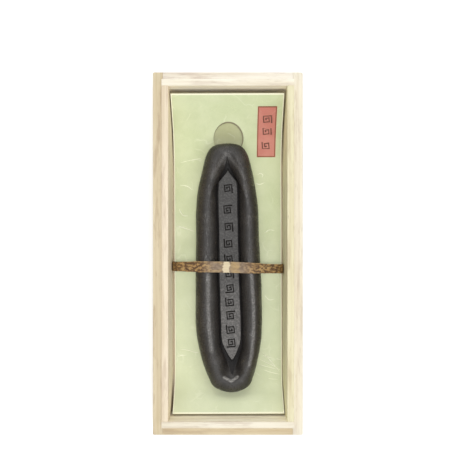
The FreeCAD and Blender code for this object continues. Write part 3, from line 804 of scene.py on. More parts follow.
def spiral_marks_tree() -> bpy.types.NodeTree:
    """Square spirals of raised line, one on each point, each turned by a quarter at random."""
    inputs = {
        "Points": (GEOMETRY, None), "Size": (FLOAT, 4 * MM), "Line": (FLOAT, 0.4 * MM),
        "Relief": (FLOAT, 0.2 * MM), "Tilt": (FLOAT, 0.0), "Turn": (FLOAT, 0.0),
        "Seed": ("NodeSocketInt", 0), "Material": ("NodeSocketMaterial", None),
    }
    tree, n, given, result = new_group("spiral_marks", "GeometryNodeTree", inputs, {"Geometry": GEOMETRY})
    size, line = given.outputs["Size"], given.outputs["Line"]
    outer = n.math("MULTIPLY", size, math.sqrt(0.5))
    spiral = n.add("GeometryNodeCurveSpiral", {"Resolution": 4, "Rotations": 1.75, "Height": 0.0})
    n.tree.links.new(n.math("MULTIPLY", outer, 0.14), spiral.inputs["Start Radius"])
    n.tree.links.new(outer, spiral.inputs["End Radius"])
    section = {"Width": line, "Height": given.outputs["Relief"]}
    profile = n.add("GeometryNodeCurvePrimitiveQuadrilateral", section)
    solid = n.add("GeometryNodeCurveToMesh", {"Curve": spiral.outputs[0], "Profile Curve": profile.outputs[0],
                                              "Fill Caps": True})
    upright = {"Geometry": solid.outputs[0], "Rotation": (0.0, 0.0, math.pi / 4)}
    square = n.add("GeometryNodeTransform", upright)
    quarter = n.add("FunctionNodeRandomValue", {"Min": 0, "Max": 3}, data_type="INT")
    n.tree.links.new(given.outputs["Seed"], quarter.inputs["Seed"])
    own = n.math("MULTIPLY", quarter.outputs[2], math.pi / 2)
    spin = n.add("ShaderNodeCombineXYZ", {"Z": own}).outputs[0]
    lean = n.add("ShaderNodeCombineXYZ", {"X": given.outputs["Tilt"], "Z": given.outputs["Turn"]}).outputs[0]
    both = n.add("FunctionNodeRotateRotation", {"Rotation": lean, "Rotate By": spin}, rotation_space="LOCAL")
    copies = {"Points": given.outputs["Points"], "Instance": square.outputs[0], "Rotation": both.outputs[0]}
    placed = n.add("GeometryNodeInstanceOnPoints", copies)
    finish_tree(n, result, placed.outputs[0], given.outputs["Material"])
    return tree


def fibres_tree() -> bpy.types.NodeTree:
    """Loose fibres pressed into a sheet: short curved strands laid on its upper side."""
    inputs = {
        "Sheet": (GEOMETRY, None), "Density": (FLOAT, 20000.0), "Length": (FLOAT, 12 * MM),
        "Bow": (FLOAT, 3 * MM), "Thickness": (FLOAT, 0.08 * MM), "Seed": ("NodeSocketInt", 0),
        "Material": ("NodeSocketMaterial", None),
    }
    tree, n, given, result = new_group("paper_fibres", "GeometryNodeTree", inputs, {"Geometry": GEOMETRY})
    sheet, seed = given.outputs["Sheet"], given.outputs["Seed"]
    facing = n.add("GeometryNodeInputNormal").outputs[0]
    upward = n.add("ShaderNodeSeparateXYZ", {0: facing}).outputs[2]
    top = n.add("FunctionNodeCompare", {0: upward, 1: 0.5}, operation="GREATER_THAN").outputs[0]
    spots = n.add("GeometryNodeDistributePointsOnFaces",
                  {"Mesh": sheet, "Selection": top, "Density": given.outputs["Density"], "Seed": seed})
    half = n.math("MULTIPLY", given.outputs["Length"], 0.5)
    left = n.add("ShaderNodeCombineXYZ", {"X": n.math("MULTIPLY", half, -1.0)}).outputs[0]
    right = n.add("ShaderNodeCombineXYZ", {"X": half}).outputs[0]
    bow = n.add("ShaderNodeCombineXYZ", {"Y": given.outputs["Bow"]}).outputs[0]
    strand = n.add("GeometryNodeCurveQuadraticBezier",
                   {"Resolution": 14, "Start": left, "Middle": bow, "End": right})
    turn = n.add("FunctionNodeRandomValue", {2: 0.0, 3: math.tau, "Seed": seed}, data_type="FLOAT").outputs[1]
    spin = n.add("ShaderNodeCombineXYZ", {"Z": turn}).outputs[0]
    growth_seed = n.math("ADD", seed, 7.0)
    growth = n.add("FunctionNodeRandomValue", {2: 0.35, 3: 1.5, "Seed": growth_seed}, data_type="FLOAT")
    laid = n.add("GeometryNodeInstanceOnPoints", {"Points": spots.outputs[0], "Instance": strand.outputs[0],
                                                  "Rotation": spin, "Scale": growth.outputs[1]})
    curves = n.add("GeometryNodeRealizeInstances", {0: laid.outputs[0]}).outputs[0]
    here = n.add("GeometryNodeInputPosition").outputs[0]
    above = n.vector_math("ADD", here, (0.0, 0.0, 0.02))
    ray = n.add("GeometryNodeRaycast", {"Target Geometry": sheet, "Source Position": above,
                                        "Ray Direction": (0.0, 0.0, -1.0), "Ray Length": 0.05})
    missed = n.add("FunctionNodeBooleanMath", {0: ray.outputs["Is Hit"]}, operation="NOT").outputs[0]
    kept = n.add("GeometryNodeDeleteGeometry", {"Geometry": curves, "Selection": missed}, domain="POINT")
    down = {"Geometry": kept.outputs[0], "Position": ray.outputs["Hit Position"]}
    pressed = n.add("GeometryNodeSetPosition", down).outputs[0]
    radius = n.math("MULTIPLY", given.outputs["Thickness"], 0.5)
    ring = n.add("GeometryNodeCurvePrimitiveCircle", {"Resolution": 5, "Radius": radius}).outputs[0]
    solid = n.add("GeometryNodeCurveToMesh", {"Curve": pressed, "Profile Curve": ring, "Fill Caps": True})
    finish_tree(n, result, solid.outputs[0], given.outputs["Material"])
    return tree


def grow(thing: bpy.types.Object, tree: bpy.types.NodeTree, values: dict[str, object]) -> None:
    """Runs a geometry tree on an object and keeps the result as its plain mesh.

    Args:
        thing: The object.
        tree: The geometry tree.
        values: Value of each named input.
    """
    modifier = thing.modifiers.new(tree.name, "NODES")
    modifier.node_group = tree
    for socket in tree.interface.items_tree:
        if socket.item_type == "SOCKET" and socket.in_out == "INPUT" and socket.name in values:
            modifier[socket.identifier] = values[socket.name]
    bake_modifiers(thing)


def points_object(name: str, places: Sequence[Vector]) -> bpy.types.Object:
    """Makes an object of loose points."""
    mesh = bpy.data.meshes.new(name)
    mesh.from_pydata([tuple(p) for p in places], [], [])
    return new_object(name, mesh)


@dataclass
class PaperTrim:
    """What is on the facing paper: fibres, long strands, and the red label with its print.

    The marks are printed at shares of the label's length. The strands' corners are in millimetres
    from the box's middle, as seen from above.
    """

    cradle: Cradle
    side: float = 20.3 * MM
    width: float = 9.8 * MM
    skip: float = math.radians(13.0)
    run: float = 7.8 * MM
    thick: float = 0.12 * MM
    margin: float = 0.12 * MM
    line: float = 0.5 * MM
    marks: tuple = (0.22, 0.49, 0.73)
    mark_size: float = 5.0 * MM
    strands: tuple = (
        ((-25, 48.2), (-20, 49.4), (-14, 50.5)),
        ((-27, 14.8), (-23, 13.6), (-18, 11.8)),
        ((-25.8, -50.6), (-21.5, -51.2), (-18, -52.2), (-15.5, -52.6)),
        ((17.2, -56.2), (21, -58.0), (25, -60.0), (28, -62.0)),
        ((18.6, -54.0), (22, -55.0), (23.4, -55.0)),
        ((25.6, -55.8), (28.2, -56.4)),
        ((19, -61.6), (23, -63.0), (27.6, -64.0)),
        ((14.6, -69.4), (18, -69.6), (22, -70)),
        ((15.6, 41.6), (17.2, 42.6), (18.6, 41.8), (18.2, 40.4)),
        ((14.8, 37.4), (17.0, 36.8), (19.6, 37.8)),
        ((-26, 24), (-24, 20.5), (-21, 20)),
        ((19.5, -22), (22, -24.5), (25, -24)),
        ((18.6, -52.4), (23, -57.2), (27.6, -62.8)),
        ((16.4, -58.8), (21, -60.0), (26.4, -61.4)),
        ((14.2, -62.6), (18.2, -65.4), (22, -66.2), (26.4, -66.6)),
        ((-26.4, -54.6), (-24.4, -54.0), (-22.0, -54.0)),
        ((-25.4, 36.4), (-21.6, 35.8), (-19.0, 34.0)),
        ((19.4, 10.8), (22.0, 12.6), (24.8, 12.2)),
    )

    def label_length(self) -> float:
        """Length of the label along its slope."""
        return (self.cradle.head_slope - self.skip) * self.cradle.head_radius + self.run

    def label_spot(self, along: float, lift: float) -> tuple[Vector, Vector]:
        """A place on the label's middle line.

        Args:
            along: Distance from its lower edge.
            lift: Height above the facing paper.

        Returns:
            The place and the direction away from the paper.
        """
        c = self.cradle
        centre = Vector((0, c.head_start, c.top + c.head_radius))
        angle = min(self.skip + along / c.head_radius, c.head_slope)
        past = along - (angle - self.skip) * c.head_radius
        out = Vector((0, math.sin(angle), -math.cos(angle)))
        ahead = Vector((0, math.cos(angle), math.sin(angle)))
        return centre + out * (c.head_radius - lift) + ahead * past, -out

    def build_label(self) -> None:
        """Builds the label with its lightly curled edges and the line printed along them."""
        half, length = self.width / 2, self.label_length()
        inset = (0.0, self.margin, self.margin + self.line)
        middle = [half * (i / 6 - 1) for i in range(2, 11)]
        across = [-half + d for d in inset] + middle + [half - d for d in reversed(inset)]
        rows = [*inset] + [length * i / 28 for i in range(2, 27)] + [length - d for d in reversed(inset)]
        points = []
        for lift in (self.thick, 0.01 * MM):
            for along in rows:
                spot, up = self.label_spot(along, lift)
                for x in across:
                    curl = 0.14 * MM * max(abs(x / half) ** 10, smoothstep(0.93, 1.0, along / length))
                    points.append(self.cradle.lay(spot + up * curl + Vector((self.side + x, 0, 0))))
        label = mesh_from("red_label", points, sheet_faces(len(rows), len(across)))
        shade_by_angle(label, 50)
        red = ("red_paper", (0.51, 0.19, 0.15), (0.58, 0.255, 0.205), (0.65, 0.36, 0.30))
        dark = ("printed_line", (0.24, 0.085, 0.05), (0.32, 0.13, 0.085), (0.42, 0.20, 0.15))
        for name, base, cloud, strand in (red, dark):
            label.data.materials.append(PaperFinish(name, base, cloud, strand, 0.25, 0.04 * MM).make())
        back = Matrix.Rotation(-self.cradle.turn, 3, "Z")
        for face in label.data.polygons:
            spot = back @ (face.center - Vector((self.cradle.side, 0, 0)))
            near_side = half - abs(spot.x - self.side)
            ends = [(self.label_spot(d, 0.0)[0] - Vector((0, spot.y, spot.z))).length for d in (0.0, length)]
            near = min(near_side, *ends)
            if self.margin * 1.05 < near < self.margin + self.line and face.normal.z > 0.5:
                face.material_index = 1
        finish_piece(label, "cradle", ["label"])

    def build_print(self) -> None:
        """Builds the label's printed frets, a row of plain square spirals."""
        ink = InkFinish("printing_ink", (0.13, 0.05, 0.035), (0.24, 0.10, 0.07), 0.7)
        material = ink.make()
        tree = spiral_marks_tree()
        prints = []
        for i, share in enumerate(self.marks):
            spot, up = self.label_spot(self.label_length() * share, self.thick + 0.02 * MM)
            point = points_object(f"print_{i}", [self.cradle.lay(spot + Vector((self.side, 0, 0)))])
            grow(point, tree, {"Size": self.mark_size, "Line": 0.85 * MM, "Relief": 0.05 * MM,
                               "Tilt": math.atan2(-up.y, up.z), "Turn": self.cradle.turn,
                               "Seed": 3 + i, "Material": material})
            prints.append(point)
        finish_piece(join(prints, "label_print"), "cradle")

    def build_fibres(self, facing: bpy.types.Object) -> None:
        """Lays pale fibres on the facing paper."""
        sheet = new_object("paper_fibres", facing.data.copy())
        pale = PaperFinish("fibre", (0.60, 0.64, 0.42), (0.68, 0.70, 0.50), (0.76, 0.77, 0.62), 0.3)
        grow(sheet, fibres_tree(), {"Density": 11000.0, "Length": 12 * MM, "Bow": 5 * MM,
                                    "Thickness": 0.09 * MM, "Seed": 11, "Material": pale.make()})
        finish_piece(sheet, "cradle")

    def surface(self, y: float) -> Vector:
        """The place on the facing paper's middle line at a distance along the box."""
        rail = [spot for spot, _ in self.cradle.path(0.0)]
        for a, b in zip(rail, rail[1:]):
            if a.y <= y <= b.y:
                return a.lerp(b, (y - a.y) / (b.y - a.y))
        return rail[0] if y < rail[0].y else rail[-1]

    def build_strands(self) -> None:
        """Lays the few long, wide strands that stand out in the facing paper."""
        section = ((-1.0, 0.0), (-0.5, 0.05), (0.5, 0.05), (1.0, 0.0), (0.0, -0.03))
        sides = len(section)
        points, faces = [], []
        for number, corners in enumerate(self.strands):
            line = smooth_line([Vector((x, y)) * MM for x, y in corners], 10)
            first = len(points)
            for i, spot in enumerate(line):
                ahead = (line[min(i + 1, len(line) - 1)] - line[max(i - 1, 0)]).normalized()
                aside = Vector((-ahead.y, ahead.x))
                taper = math.sin(math.pi * (i + 0.6) / (len(line) + 0.2)) ** 0.6
                wide = (0.26 + 0.08 * noise.noise(Vector((number * 3.1, i * 0.3, 0)))) * MM * taper
                for across, lift in section:
                    place = spot + aside * wide * across
                    points.append(self.surface(place.y) + Vector((place.x, 0, lift * MM)))
            for i in range(len(line) - 1):
                for k in range(sides):
                    a, b = first + i * sides + k, first + i * sides + (k + 1) % sides
                    faces.append((a, b, b + sides, a + sides))
            last = len(points) - sides
            faces += [tuple(reversed(range(first, first + sides))), tuple(range(last, last + sides))]
        strands = mesh_from("paper_strands", points, faces)
        pale = PaperFinish("strand", (0.76, 0.78, 0.60), (0.82, 0.83, 0.67), (0.88, 0.88, 0.78), 0.3)
        strands.data.materials.append(pale.make())
        finish_piece(strands, "cradle")


def join(things: Sequence[bpy.types.Object], name: str) -> bpy.types.Object:
    """Joins meshes into one object and removes the originals."""
    shape = bmesh.new()
    for thing in things:
        shape.from_mesh(thing.data)
    mesh = bpy.data.meshes.new(name)
    shape.to_mesh(mesh)
    shape.free()
    for material in things[0].data.materials:
        mesh.materials.append(material)
    for thing in things:
        bpy.data.objects.remove(thing)
    return new_object(name, mesh)


# ------------------------------------------------------------------ the ink stick

def smooth_loop(right: Sequence[Point], steps: int) -> list[Point]:
    """A closed smooth curve, mirrored about the Y axis, through points from tip to tip.

    Args:
        right: Points of its right side, from the head tip to the foot tip.
        steps: Steps from one point to the next.

    Returns:
        The curve's points.
    """
    left = [(-x, y) for x, y in reversed(right[1:-1])]
    ring = [Vector(p) for p in (*right, *left)]
    count = len(ring)
    out = []
    for i in range(count):
        four = [ring[(i + k) % count] for k in (-1, 0, 1, 2)]
        for step in range(steps):
            spot = between_corners(*four, step / steps)
            out.append((spot.x, spot.y))
    return out


@dataclass(frozen=True)
class WearAndGlint:
    """A line along the stick that is painted paler: a painted highlight.

    Its corners and its width are in millimetres, from the line midway between the lobes.
    """

    corners: tuple[Point, ...]
    wide: float
    strength: float


@dataclass
class InkStick:
    """The moulded stick: two round lobes that meet at both ends, around a sunken panel.

    The outlines are in millimetres from the stick's middle, from the head tip to the foot tip, each
    with a corner for every corner of the others, and so are the slots, which are the frets' places
    along the panel, and the ends and half widths of the panel and of the groove around it.
    """

    turn: float = math.radians(1.0)
    place: Point = (0.0, 0.0)
    bottom: float = 0.0
    thick: float = 14.0
    outline: tuple = ((0, 64.1), (6.9, 62.9), (10.5, 58.8), (12.8, 51.0), (15.3, 39.0), (16.2, 28.0),
                      (16.6, 8.0), (17.15, -10.0), (17.3, -26.0), (16.7, -37.0), (14.4, -48.5),
                      (11.9, -56.7), (8.6, -62.3), (0, -64.7))
    crest: tuple = ((0, 60.2), (2.6, 59.0), (5.0, 55.4), (7.1, 48.5), (9.4, 38.0), (10.5, 27.0), (10.9, 8.0),
                    (11.3, -10.0), (11.4, -26.0), (10.9, -36.0), (9.3, -46.0), (7.0, -53.0), (3.8, -57.4),
                    (0, -59.3))
    valley: tuple = ((0, 57.2), (0.5, 55.4), (1.0, 53.2), (1.9, 50.6), (4.3, 46.0), (5.9, 41.6), (5.85, 27.0),
                     (5.9, 8.0), (6.05, -10.0), (6.1, -26.0), (5.9, -39.0), (3.9, -46.3), (1.35, -52.6),
                     (0, -55.9))
    panel: tuple = ((0, 49.7), (0.45, 49.2), (1.0, 48.5), (1.9, 47.4), (3.5, 45.5), (4.8, 42.4), (4.9, 27.0),
                    (4.9, 8.0), (5.05, -10.0), (5.1, -26.0), (4.95, -37.2), (3.3, -42.4), (1.3, -46.2),
                    (0, -47.7))
    spine: tuple = ((0, 46.0), (0, 45.9), (0, 45.6), (0, 44.8), (0, 42.6), (0, 38.0), (0, 26.0),
                    (0, 8.0), (0, -10.0), (0, -26.0), (0, -36.0), (0, -40.5), (0, -43.6),
                    (0, -44.4))
    under: tuple = ((0, 59.8), (4.2, 59.0), (6.6, 55.6), (8.4, 48.5), (10.6, 38.0), (11.6, 27.0), (12.0, 8.0),
                    (12.5, -10.0), (12.7, -26.0), (12.1, -36.0), (10.2, -46.5), (7.8, -54.0), (5.0, -58.4),
                    (0, -59.9))
    # Painted highlights along the lobes' crests and the rims of the clefts at both ends.
    painted_glints: tuple[WearAndGlint, ...] = (
        WearAndGlint(((-4.2, -56.4), (-2.2, -57.6), (-0.5, -58.5)), 0.95, 1.0),
        WearAndGlint(((-0.5, -58.5), (1.0, -57.6), (2.8, -56.2)), 0.95, 1.0),
        WearAndGlint(((-10.7, -4.0), (-11.2, -20.0), (-11.0, -32.0), (-10.2, -42.5)), 1.5, 0.42),
        WearAndGlint(((11.4, -4.0), (11.9, -20.0), (11.6, -32.0), (10.4, -43.0), (8.8, -50.0)), 1.3, 0.46),
        WearAndGlint(((-8.2, 46.0), (-5.0, 52.0), (-0.8, 58.2)), 1.5, 0.22),
        WearAndGlint(((0.6, 57.6), (5.4, 51.0), (8.7, 44.9)), 1.3, 0.22),
    )
    steps: int = 14
    swell: float = 0.9
    crown: float = 0.12
    groove_depth: float = 6.0
    end_droop: float = 2.1
    panel_half: float = 5.2
    panel_ends: Point = (-47.8, 49.8)
    groove_half: float = 6.3
    groove_ends: Point = (-55.6, 54.5)
    slots: tuple = (40.6, 29.6, 20.7, 12.3, 4.4, -3.3, -10.7, -18.0, -25.1, -32.1, -39.0)

    def __post_init__(self) -> None:
        """Takes the stick's place in the box from the frame."""
        low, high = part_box("ink_stick")
        self.bottom = low[2]
        self.place = ((low[0] + high[0]) / 2, (low[1] + high[1]) / 2)

    def rise(self, y: float) -> float:
        """Height of the underside, which lifts off the card's bends at both ends."""
        start, radius = (45.0, 40.0) if y > 0 else (50.0, 22.0)
        run = max(abs(y) - start, 0.0)
        return radius - math.sqrt(max(radius * radius - run * run, 0.0))

    def top(self, y: float) -> float:
        """Height of the crest of the lobes."""
        uneven = 0.25 * noise.noise(Vector((0, y * 0.05, 3)))
        return self.thick - self.end_droop * smoothstep(40.0, 63.0, abs(y)) - uneven

    def floor(self, y: float) -> float:
        """Height of the groove around the panel, which climbs to the crest beyond both of its ends."""
        start, end = (44.5, 60.5) if y > 0 else (49.0, 60.5)
        return self.top(y) - self.groove_depth * (1.0 - smoothstep(start, end, abs(y))) - self.crown

    @staticmethod
    def lean(y: float) -> float:
        """How far the lobes and the panel stray to the right of the stick's middle."""
        return 0.5 + 0.5 * smoothstep(10.0, -50.0, y) - 0.35 * smoothstep(44.0, 60.0, abs(y))

    @staticmethod
    def bow(y: float) -> float:
        """How far the whole stick strays to the left of a straight line between its tips."""
        return 0.5 * (1.0 - smoothstep(34.0, 64.0, abs(y)))

    def waist(self, y: float) -> float:
        """Height of the stick's widest line."""
        return self.rise(y) + 0.43 * (self.top(y) - self.rise(y))

    def wall(self, angle: float) -> Height:
        """Height on the lobes' inner walls: round along the panel, a plainer slope in the clefts."""
        def height(y0: float, y1: float, _: float) -> float:
            """Height for a place on the crest and the place that it falls to."""
            soft = smoothstep(45.0, 53.0, abs(y1))
            plain = math.sin(angle) ** (1.15 if y1 < 0 else 1.3)
            share = (1 - math.cos(angle)) * (1 - soft) + plain * soft
            return self.top(y0) + (self.floor(y1) - self.top(y0)) * share
        return height

    def rows(self) -> list[list[Vector]]:
        """Rings of points from the middle of the underside over the lobes to the panel's spine."""
        loops = {name: smooth_loop(getattr(self, name), self.steps)
                 for name in ("outline", "crest", "valley", "panel", "spine", "under")}
        for name in ("crest", "valley", "panel", "spine"):
            aside = 0.25 if name == "crest" else 0.0
            loops[name] = [(x + self.lean(y) - aside, y) for x, y in loops[name]]
        rings: list[list[Vector]] = []

        def ring(first: str, second: str, across: float, height: Height) -> None:
            """Adds a ring a share of the way from one outline to another."""
            spots = []
            for (x0, y0), (x1, y1) in zip(loops[first], loops[second]):
                x, y = x0 + (x1 - x0) * across, y0 + (y1 - y0) * across
                spots.append(Vector((x, y, height(y0, y1, y))))
            rings.append(spots)

        def between(low: Callable[[float], float], high: Callable[[float], float], share: float) -> Height:
            """Height a share of the way from one ring's height to the other's."""
            return lambda y0, y1, _: low(y0) + (high(y1) - low(y0)) * share

        for i in range(7):
            ring("spine", "under", i / 7, lambda y0, y1, y: self.rise(y))
        for i in range(10):
            a = math.pi / 2 * i / 10
            ring("under", "outline", math.sin(a), between(self.rise, self.waist, 1 - math.cos(a)))
        for i in range(14):
            a = math.pi / 2 * i / 14
            ring("outline", "crest", 1 - math.cos(a), between(self.waist, self.top, math.sin(a)))
        for i in range(16):
            a = math.pi / 2 * i / 16
            ring("crest", "valley", math.sin(a), self.wall(a))
        for across, lift in ((0.0, 0.0), (0.45, -0.9), (0.86, -1.5), (0.95, 0.6), (1.0, self.swell)):
            ring("valley", "panel", across, lambda y0, y1, y: self.floor(y) + lift)
        for i in range(1, 9):
            sag = self.crown * math.sin(math.pi / 2 * i / 8)
            ring("panel", "spine", i / 8, lambda y0, y1, y: self.floor(y) + self.swell - sag)
        return rings

    def set_down(self, spot: Vector) -> Vector:
        """Moves a point from the stick's own millimetres to its place in the box."""
        x, y, z = (spot - Vector((self.bow(spot.y), 0, 0))) * MM
        cos, sin = math.cos(self.turn), math.sin(self.turn)
        return Vector((self.place[0] + x * cos - y * sin, self.place[1] + x * sin + y * cos, self.bottom + z))

    def worn(self, spot: Vector) -> Vector:
        """Moves a point by the slight unevenness of hand-finished ink."""
        slow = noise.noise_vector(spot * 0.09) * 0.22
        quick = noise.noise_vector(spot * 0.55) * 0.05
        shift = (slow + quick) * smoothstep(0.0, 2.0, spot.z)
        return spot + shift

    def build(self) -> None:
        """Builds the stick's body and the frets on its panel."""
        rings = self.rows()
        count = len(rings[0])
        points = [self.set_down(self.worn(spot)) for ring in rings for spot in ring]
        faces = []
        for r in range(len(rings) - 1):
            for i in range(count):
                j = (i + 1) % count
                faces.append((r * count + i, r * count + j, (r + 1) * count + j, (r + 1) * count + i))
        body = mesh_from("ink_body", points, faces)
        for finish in self.finishes():
            body.data.materials.append(finish.make())
        self.dress_panel(body)
        sub = body.modifiers.new("smooth", "SUBSURF")
        sub.levels = sub.render_levels = 1
        bake_modifiers(body)
        self.mark_painted_glints(body)
        finish_piece(body, "ink_stick", ["ink_stick"])
        self.build_frets()

    @staticmethod
    def finishes() -> tuple[InkFinish, InkFinish, InkFinish]:
        """The inks of the lobes, the panel and the groove."""
        return (
            # The moulded ink's glint colour paints highlights along its crests and clefts.
            InkFinish("moulded_ink", (0.011, 0.009, 0.0075), (0.042, 0.036, 0.031), 0.44, 1400.0, 0.19 * MM,
                      gloss=0.56, glint=0.24, painted_glint=(0.26, 0.25, 0.235)),
            # The panel is lighter toward the foot: partly a dusty bloom, partly painted sheen.
            InkFinish("panel_ink", (0.024, 0.023, 0.022), (0.140, 0.132, 0.125), 0.60, 1300.0, 0.16 * MM,
                      fade=(20 * MM, -50 * MM)),
            # The groove's darker ink is painted shade in the recess.
            InkFinish("groove_ink", (0.015, 0.014, 0.014), (0.026, 0.024, 0.023), 0.72, gloss=0.25),
        )

    def dress_panel(self, body: bpy.types.Object) -> None:
        """Gives the panel and the groove around it their own finishes."""
        panel_foot, panel_head = self.panel_ends
        groove_foot, groove_head = self.groove_ends
        turn_back = Matrix.Rotation(-self.turn, 2)
        for face in body.data.polygons:
            spot = turn_back @ (face.center.xy - Vector(self.place)) / MM
            height = (face.center.z - self.bottom) / MM
            aside = abs(spot.x + self.bow(spot.y) - self.lean(spot.y))
            above = height - self.floor(spot.y)
            on_panel = aside < self.panel_half and panel_foot < spot.y < panel_head
            raised = above > 0.5 * self.swell and height < self.top(spot.y) - 3.0
            groove_half = self.groove_half * (1.0 - smoothstep(36.0, 58.0, abs(spot.y))) + 0.3
            in_groove = aside < groove_half and groove_foot < spot.y < groove_head
            if face.normal.z > 0.85 and on_panel and raised:
                face.material_index = 1
            # The groove's faces get the darker ink: painted shade.
            elif in_groove and height > 5.0 and above < 0.1:
                face.material_index = 2

    def mark_painted_glints(self, body: bpy.types.Object) -> None:
        """Stores where highlights are painted along the lobes' crests and the clefts' rims, for the finish.
        """
        turn_back = Matrix.Rotation(-self.turn, 2)
        wear_and_glint = body.data.attributes.new("wear_and_glint", "FLOAT", "POINT")
        lines = [(tuple(map(Vector, line.corners)), line.wide, line.strength) for line in self.painted_glints]
        for vertex, mark in zip(body.data.vertices, wear_and_glint.data):
            if vertex.co.z < self.bottom + 5 * MM:
                continue
            spot = turn_back @ (vertex.co.xy - Vector(self.place)) / MM
            spot.x += self.bow(spot.y) - self.lean(spot.y)
            for line, wide, strength in lines:
                ends = sorted((line[0].y, line[-1].y))
                if not ends[0] - 2.5 < spot.y < ends[1] + 2.5:
                    continue
                gaps = []
                for a, b in zip(line, line[1:]):
                    share = min(max((spot - a).dot(b - a) / (b - a).length_squared, 0.0), 1.0)
                    gaps.append((spot - a.lerp(b, share)).length)
                mark.value = max(mark.value, strength * (1.0 - smoothstep(0.2 * wide, wide, min(gaps))))

    def build_frets(self) -> None:
        """Raises a column of plain square spirals on the panel."""
        lift = self.swell - 0.06
        middles = [Vector((self.lean(y), y, self.floor(y) + lift)) for y in self.slots]
        frets = points_object("panel_frets", [self.set_down(self.worn(spot)) for spot in middles])
        ink = InkFinish("fret_ink", (0.008, 0.007, 0.006), (0.016, 0.014, 0.013), 0.72, gloss=0.15)
        grow(frets, spiral_marks_tree(), {"Size": 4.6 * MM, "Line": 0.78 * MM, "Relief": 0.22 * MM,
                                          "Tilt": 0.0, "Turn": self.turn, "Seed": 5, "Material": ink.make()})
        finish_piece(frets, "ink_stick")


# ------------------------------------------------------------------ the strap

@dataclass
class Strap:
    """The springy strip of bamboo sheath over the stick."""

    thick: float = 0.4 * MM
    width: float = 5.8 * MM
    crown: float = 11.0 * MM
    slope: float = math.radians(16.0)
    shoulder: float = 12.0 * MM
    corner: float = 6.0 * MM
    tail: float = 5.8 * MM
    turn: float = math.radians(-1.3)
    place: float = -7.2 * MM
    across_steps: int = 14

    def side(self) -> list[tuple[Vector, Vector]]:
        """Outer face of the right half, from the middle of the crown to the tucked end."""
        low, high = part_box("strap")
        reach = (high[0] - low[0]) / 2 - 0.06 * MM
        spot, angle = Vector((0, 0, high[2])), 0.0
        out = [(spot.copy(), Vector((0, 0, 1)))]
        fall_across = self.shoulder * math.sin(self.slope) + self.corner * (1 - math.sin(self.slope))
        fall = (reach - self.crown - fall_across) / math.cos(self.slope)
        steps = (("line", self.crown, 20), ("arc", self.shoulder, self.slope, 8), ("line", fall, 18),
                 ("arc", self.corner, math.pi / 2 - self.slope, 20), ("line", self.tail, 10))
        for step in steps:
            pieces = step[-1]
            for _ in range(pieces):
                if step[0] == "line":
                    length, bend = step[1] / pieces, 0.0
                else:
                    length, bend = step[1] * step[2] / pieces, step[2] / pieces
                angle += bend / 2
                spot = spot + Vector((math.cos(angle), 0, -math.sin(angle))) * length
                angle += bend / 2
                out.append((spot.copy(), Vector((math.sin(angle), 0, math.cos(angle)))))
        return out

    def build(self) -> None:
        """Builds the strip with its uneven edges and its pattern along its length."""
        right = self.side()
        left = [(Vector((-p.x, 0, p.z)), Vector((-u.x, 0, u.z))) for p, u in reversed(right[1:])]
        rail = left + right
        turn = Matrix.Rotation(self.turn, 3, "Z")
        columns = self.across_steps + 1
        travelled = [0.0]
        for (a, _), (b, _) in zip(rail, rail[1:]):
            travelled.append(travelled[-1] + (b - a).length)
        points, along = [], []
        for depth in (0.0, self.thick):
            for (spot, up), run in zip(rail, travelled):
                for i in range(columns):
                    share = 2 * i / self.across_steps - 1
                    ragged = 0.07 * MM * noise.noise(Vector((run * 300, share, 2)))
                    dish = -0.06 * MM * share * share
                    y = share * (self.half_width(spot.x) + ragged) + self.bow(spot.x)
                    place = spot + up * (dish - depth) + Vector((0, y, 0))
                    points.append(turn @ place + Vector((0, self.place, 0)))
                    along.append((run, share * self.width / 2 + depth * 4))
        faces = sheet_faces(len(rail), columns)
        strip = mesh_from("sheath_strap", points, faces)
        self.map_along(strip, points, along)
        shade_by_angle(strip, 50)
        strip.data.materials.append(SheathFinish("bamboo_sheath").make())
        finish_piece(strip, "strap", ["strap"])

    def half_width(self, x: float) -> float:
        """Half the strip's width, which shrinks towards its ends."""
        return self.width / 2 - 0.12 * MM - 0.38 * MM * smoothstep(9 * MM, 27 * MM, abs(x + 3 * MM))

    @staticmethod
    def bow(x: float) -> float:
        """How far the strip's middle line strays towards the head."""
        return 0.32 * MM * (1.0 - smoothstep(0.0, 26 * MM, abs(x + 3 * MM)))

    @staticmethod
    def map_along(strip: bpy.types.Object, points: Sequence[Vector], along: Sequence[Point]) -> None:
        """Stores how far along and across the strip each point lies."""
        known = {tuple(round(c, 6) for c in p): uv for p, uv in zip(points, along)}
        layer = strip.data.uv_layers.new(name="along")
        for loop in strip.data.loops:
            key = tuple(round(c, 6) for c in strip.data.vertices[loop.vertex_index].co)
            layer.data[loop.index].uv = known.get(key, (0.0, 0.0))


# ------------------------------------------------------------------ the studio

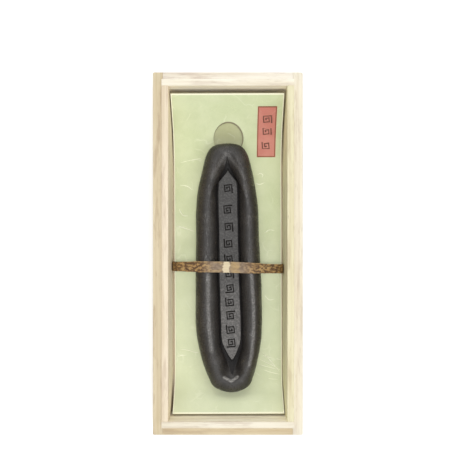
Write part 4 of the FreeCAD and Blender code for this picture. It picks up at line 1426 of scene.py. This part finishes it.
@dataclass
class Studio:
    """A pale floor, soft light from above and from all around, and the camera above."""

    eye: float = 0.331
    lens: float = 48.96
    shift: Point = (-0.0062, 0.0636)
    sky: float = 0.62
    lights: tuple = (
        # name, power in watts, size, place
        ("key", 1.5, 0.5, (0.70, -0.25, 0.75)),
        ("top", 7.2, 0.42, (0.03, -0.05, 1.3)),
        ("foot_fill", 3.1, 0.6, (0.05, -0.9, 0.72)),
        ("head_fill", 4.2, 0.7, (-0.05, 1.0, 0.60)),
    )

    def build_camera(self) -> None:
        """Looks straight down on the box, with its head up."""
        data = bpy.data.cameras.new("camera")
        data.lens = self.lens
        data.sensor_width = 36.0
        data.shift_x, data.shift_y = self.shift
        data.clip_start = 0.01
        data.dof.use_dof = False
        camera = bpy.data.objects.new("camera", data)
        camera.location = (0.0, 0.0, self.eye)
        bpy.context.scene.collection.objects.link(camera)
        bpy.context.scene.camera = camera

    def build_floor(self) -> None:
        """Lays the pale floor under the box."""
        bpy.ops.mesh.primitive_plane_add(size=6.0, location=(0, 0, 0))
        floor = bpy.context.object
        floor.name = "floor"
        material, _, shader = new_material("floor_white")
        shader.inputs["Base Color"].default_value = (0.92, 0.92, 0.92, 1.0)
        shader.inputs["Roughness"].default_value = 0.9
        shader.inputs["Specular IOR Level"].default_value = 0.0
        floor.data.materials.append(material)

    @staticmethod
    def add_light(name: str, power: float, size: float, place: Sequence[float]) -> None:
        """Adds a soft square light that faces the box."""
        data = bpy.data.lights.new(name, "AREA")
        data.energy = power
        data.size = size
        light = bpy.data.objects.new(name, data)
        light.location = place
        light.rotation_euler = (-Vector(place)).to_track_quat("-Z", "Y").to_euler()
        bpy.context.scene.collection.objects.link(light)

    def build_light(self) -> None:
        """Sets the lights and the pale surroundings."""
        for name, power, size, place in self.lights:
            self.add_light(name, power, size, place)
        world = bpy.data.worlds.new("surroundings")
        world.use_nodes = True
        sky = world.node_tree.nodes["Background"]
        sky.inputs["Color"].default_value = (1.0, 1.0, 1.0, 1.0)
        sky.inputs["Strength"].default_value = self.sky
        bpy.context.scene.world = world
        bpy.context.scene.view_settings.view_transform = "Standard"


# ------------------------------------------------------------------ build


def main() -> None:
    """Builds the studio and every sub-assembly, in order."""
    studio = Studio()
    studio.build_camera()
    studio.build_floor()
    studio.build_light()
    WoodenBox().dress()
    cradle = Cradle()
    facing = cradle.build()
    trim = PaperTrim(cradle)
    trim.build_label()
    trim.build_print()
    trim.build_fibres(facing)
    trim.build_strands()
    InkStick().build()
    Strap().build()


if __name__ == "__main__":
    main()
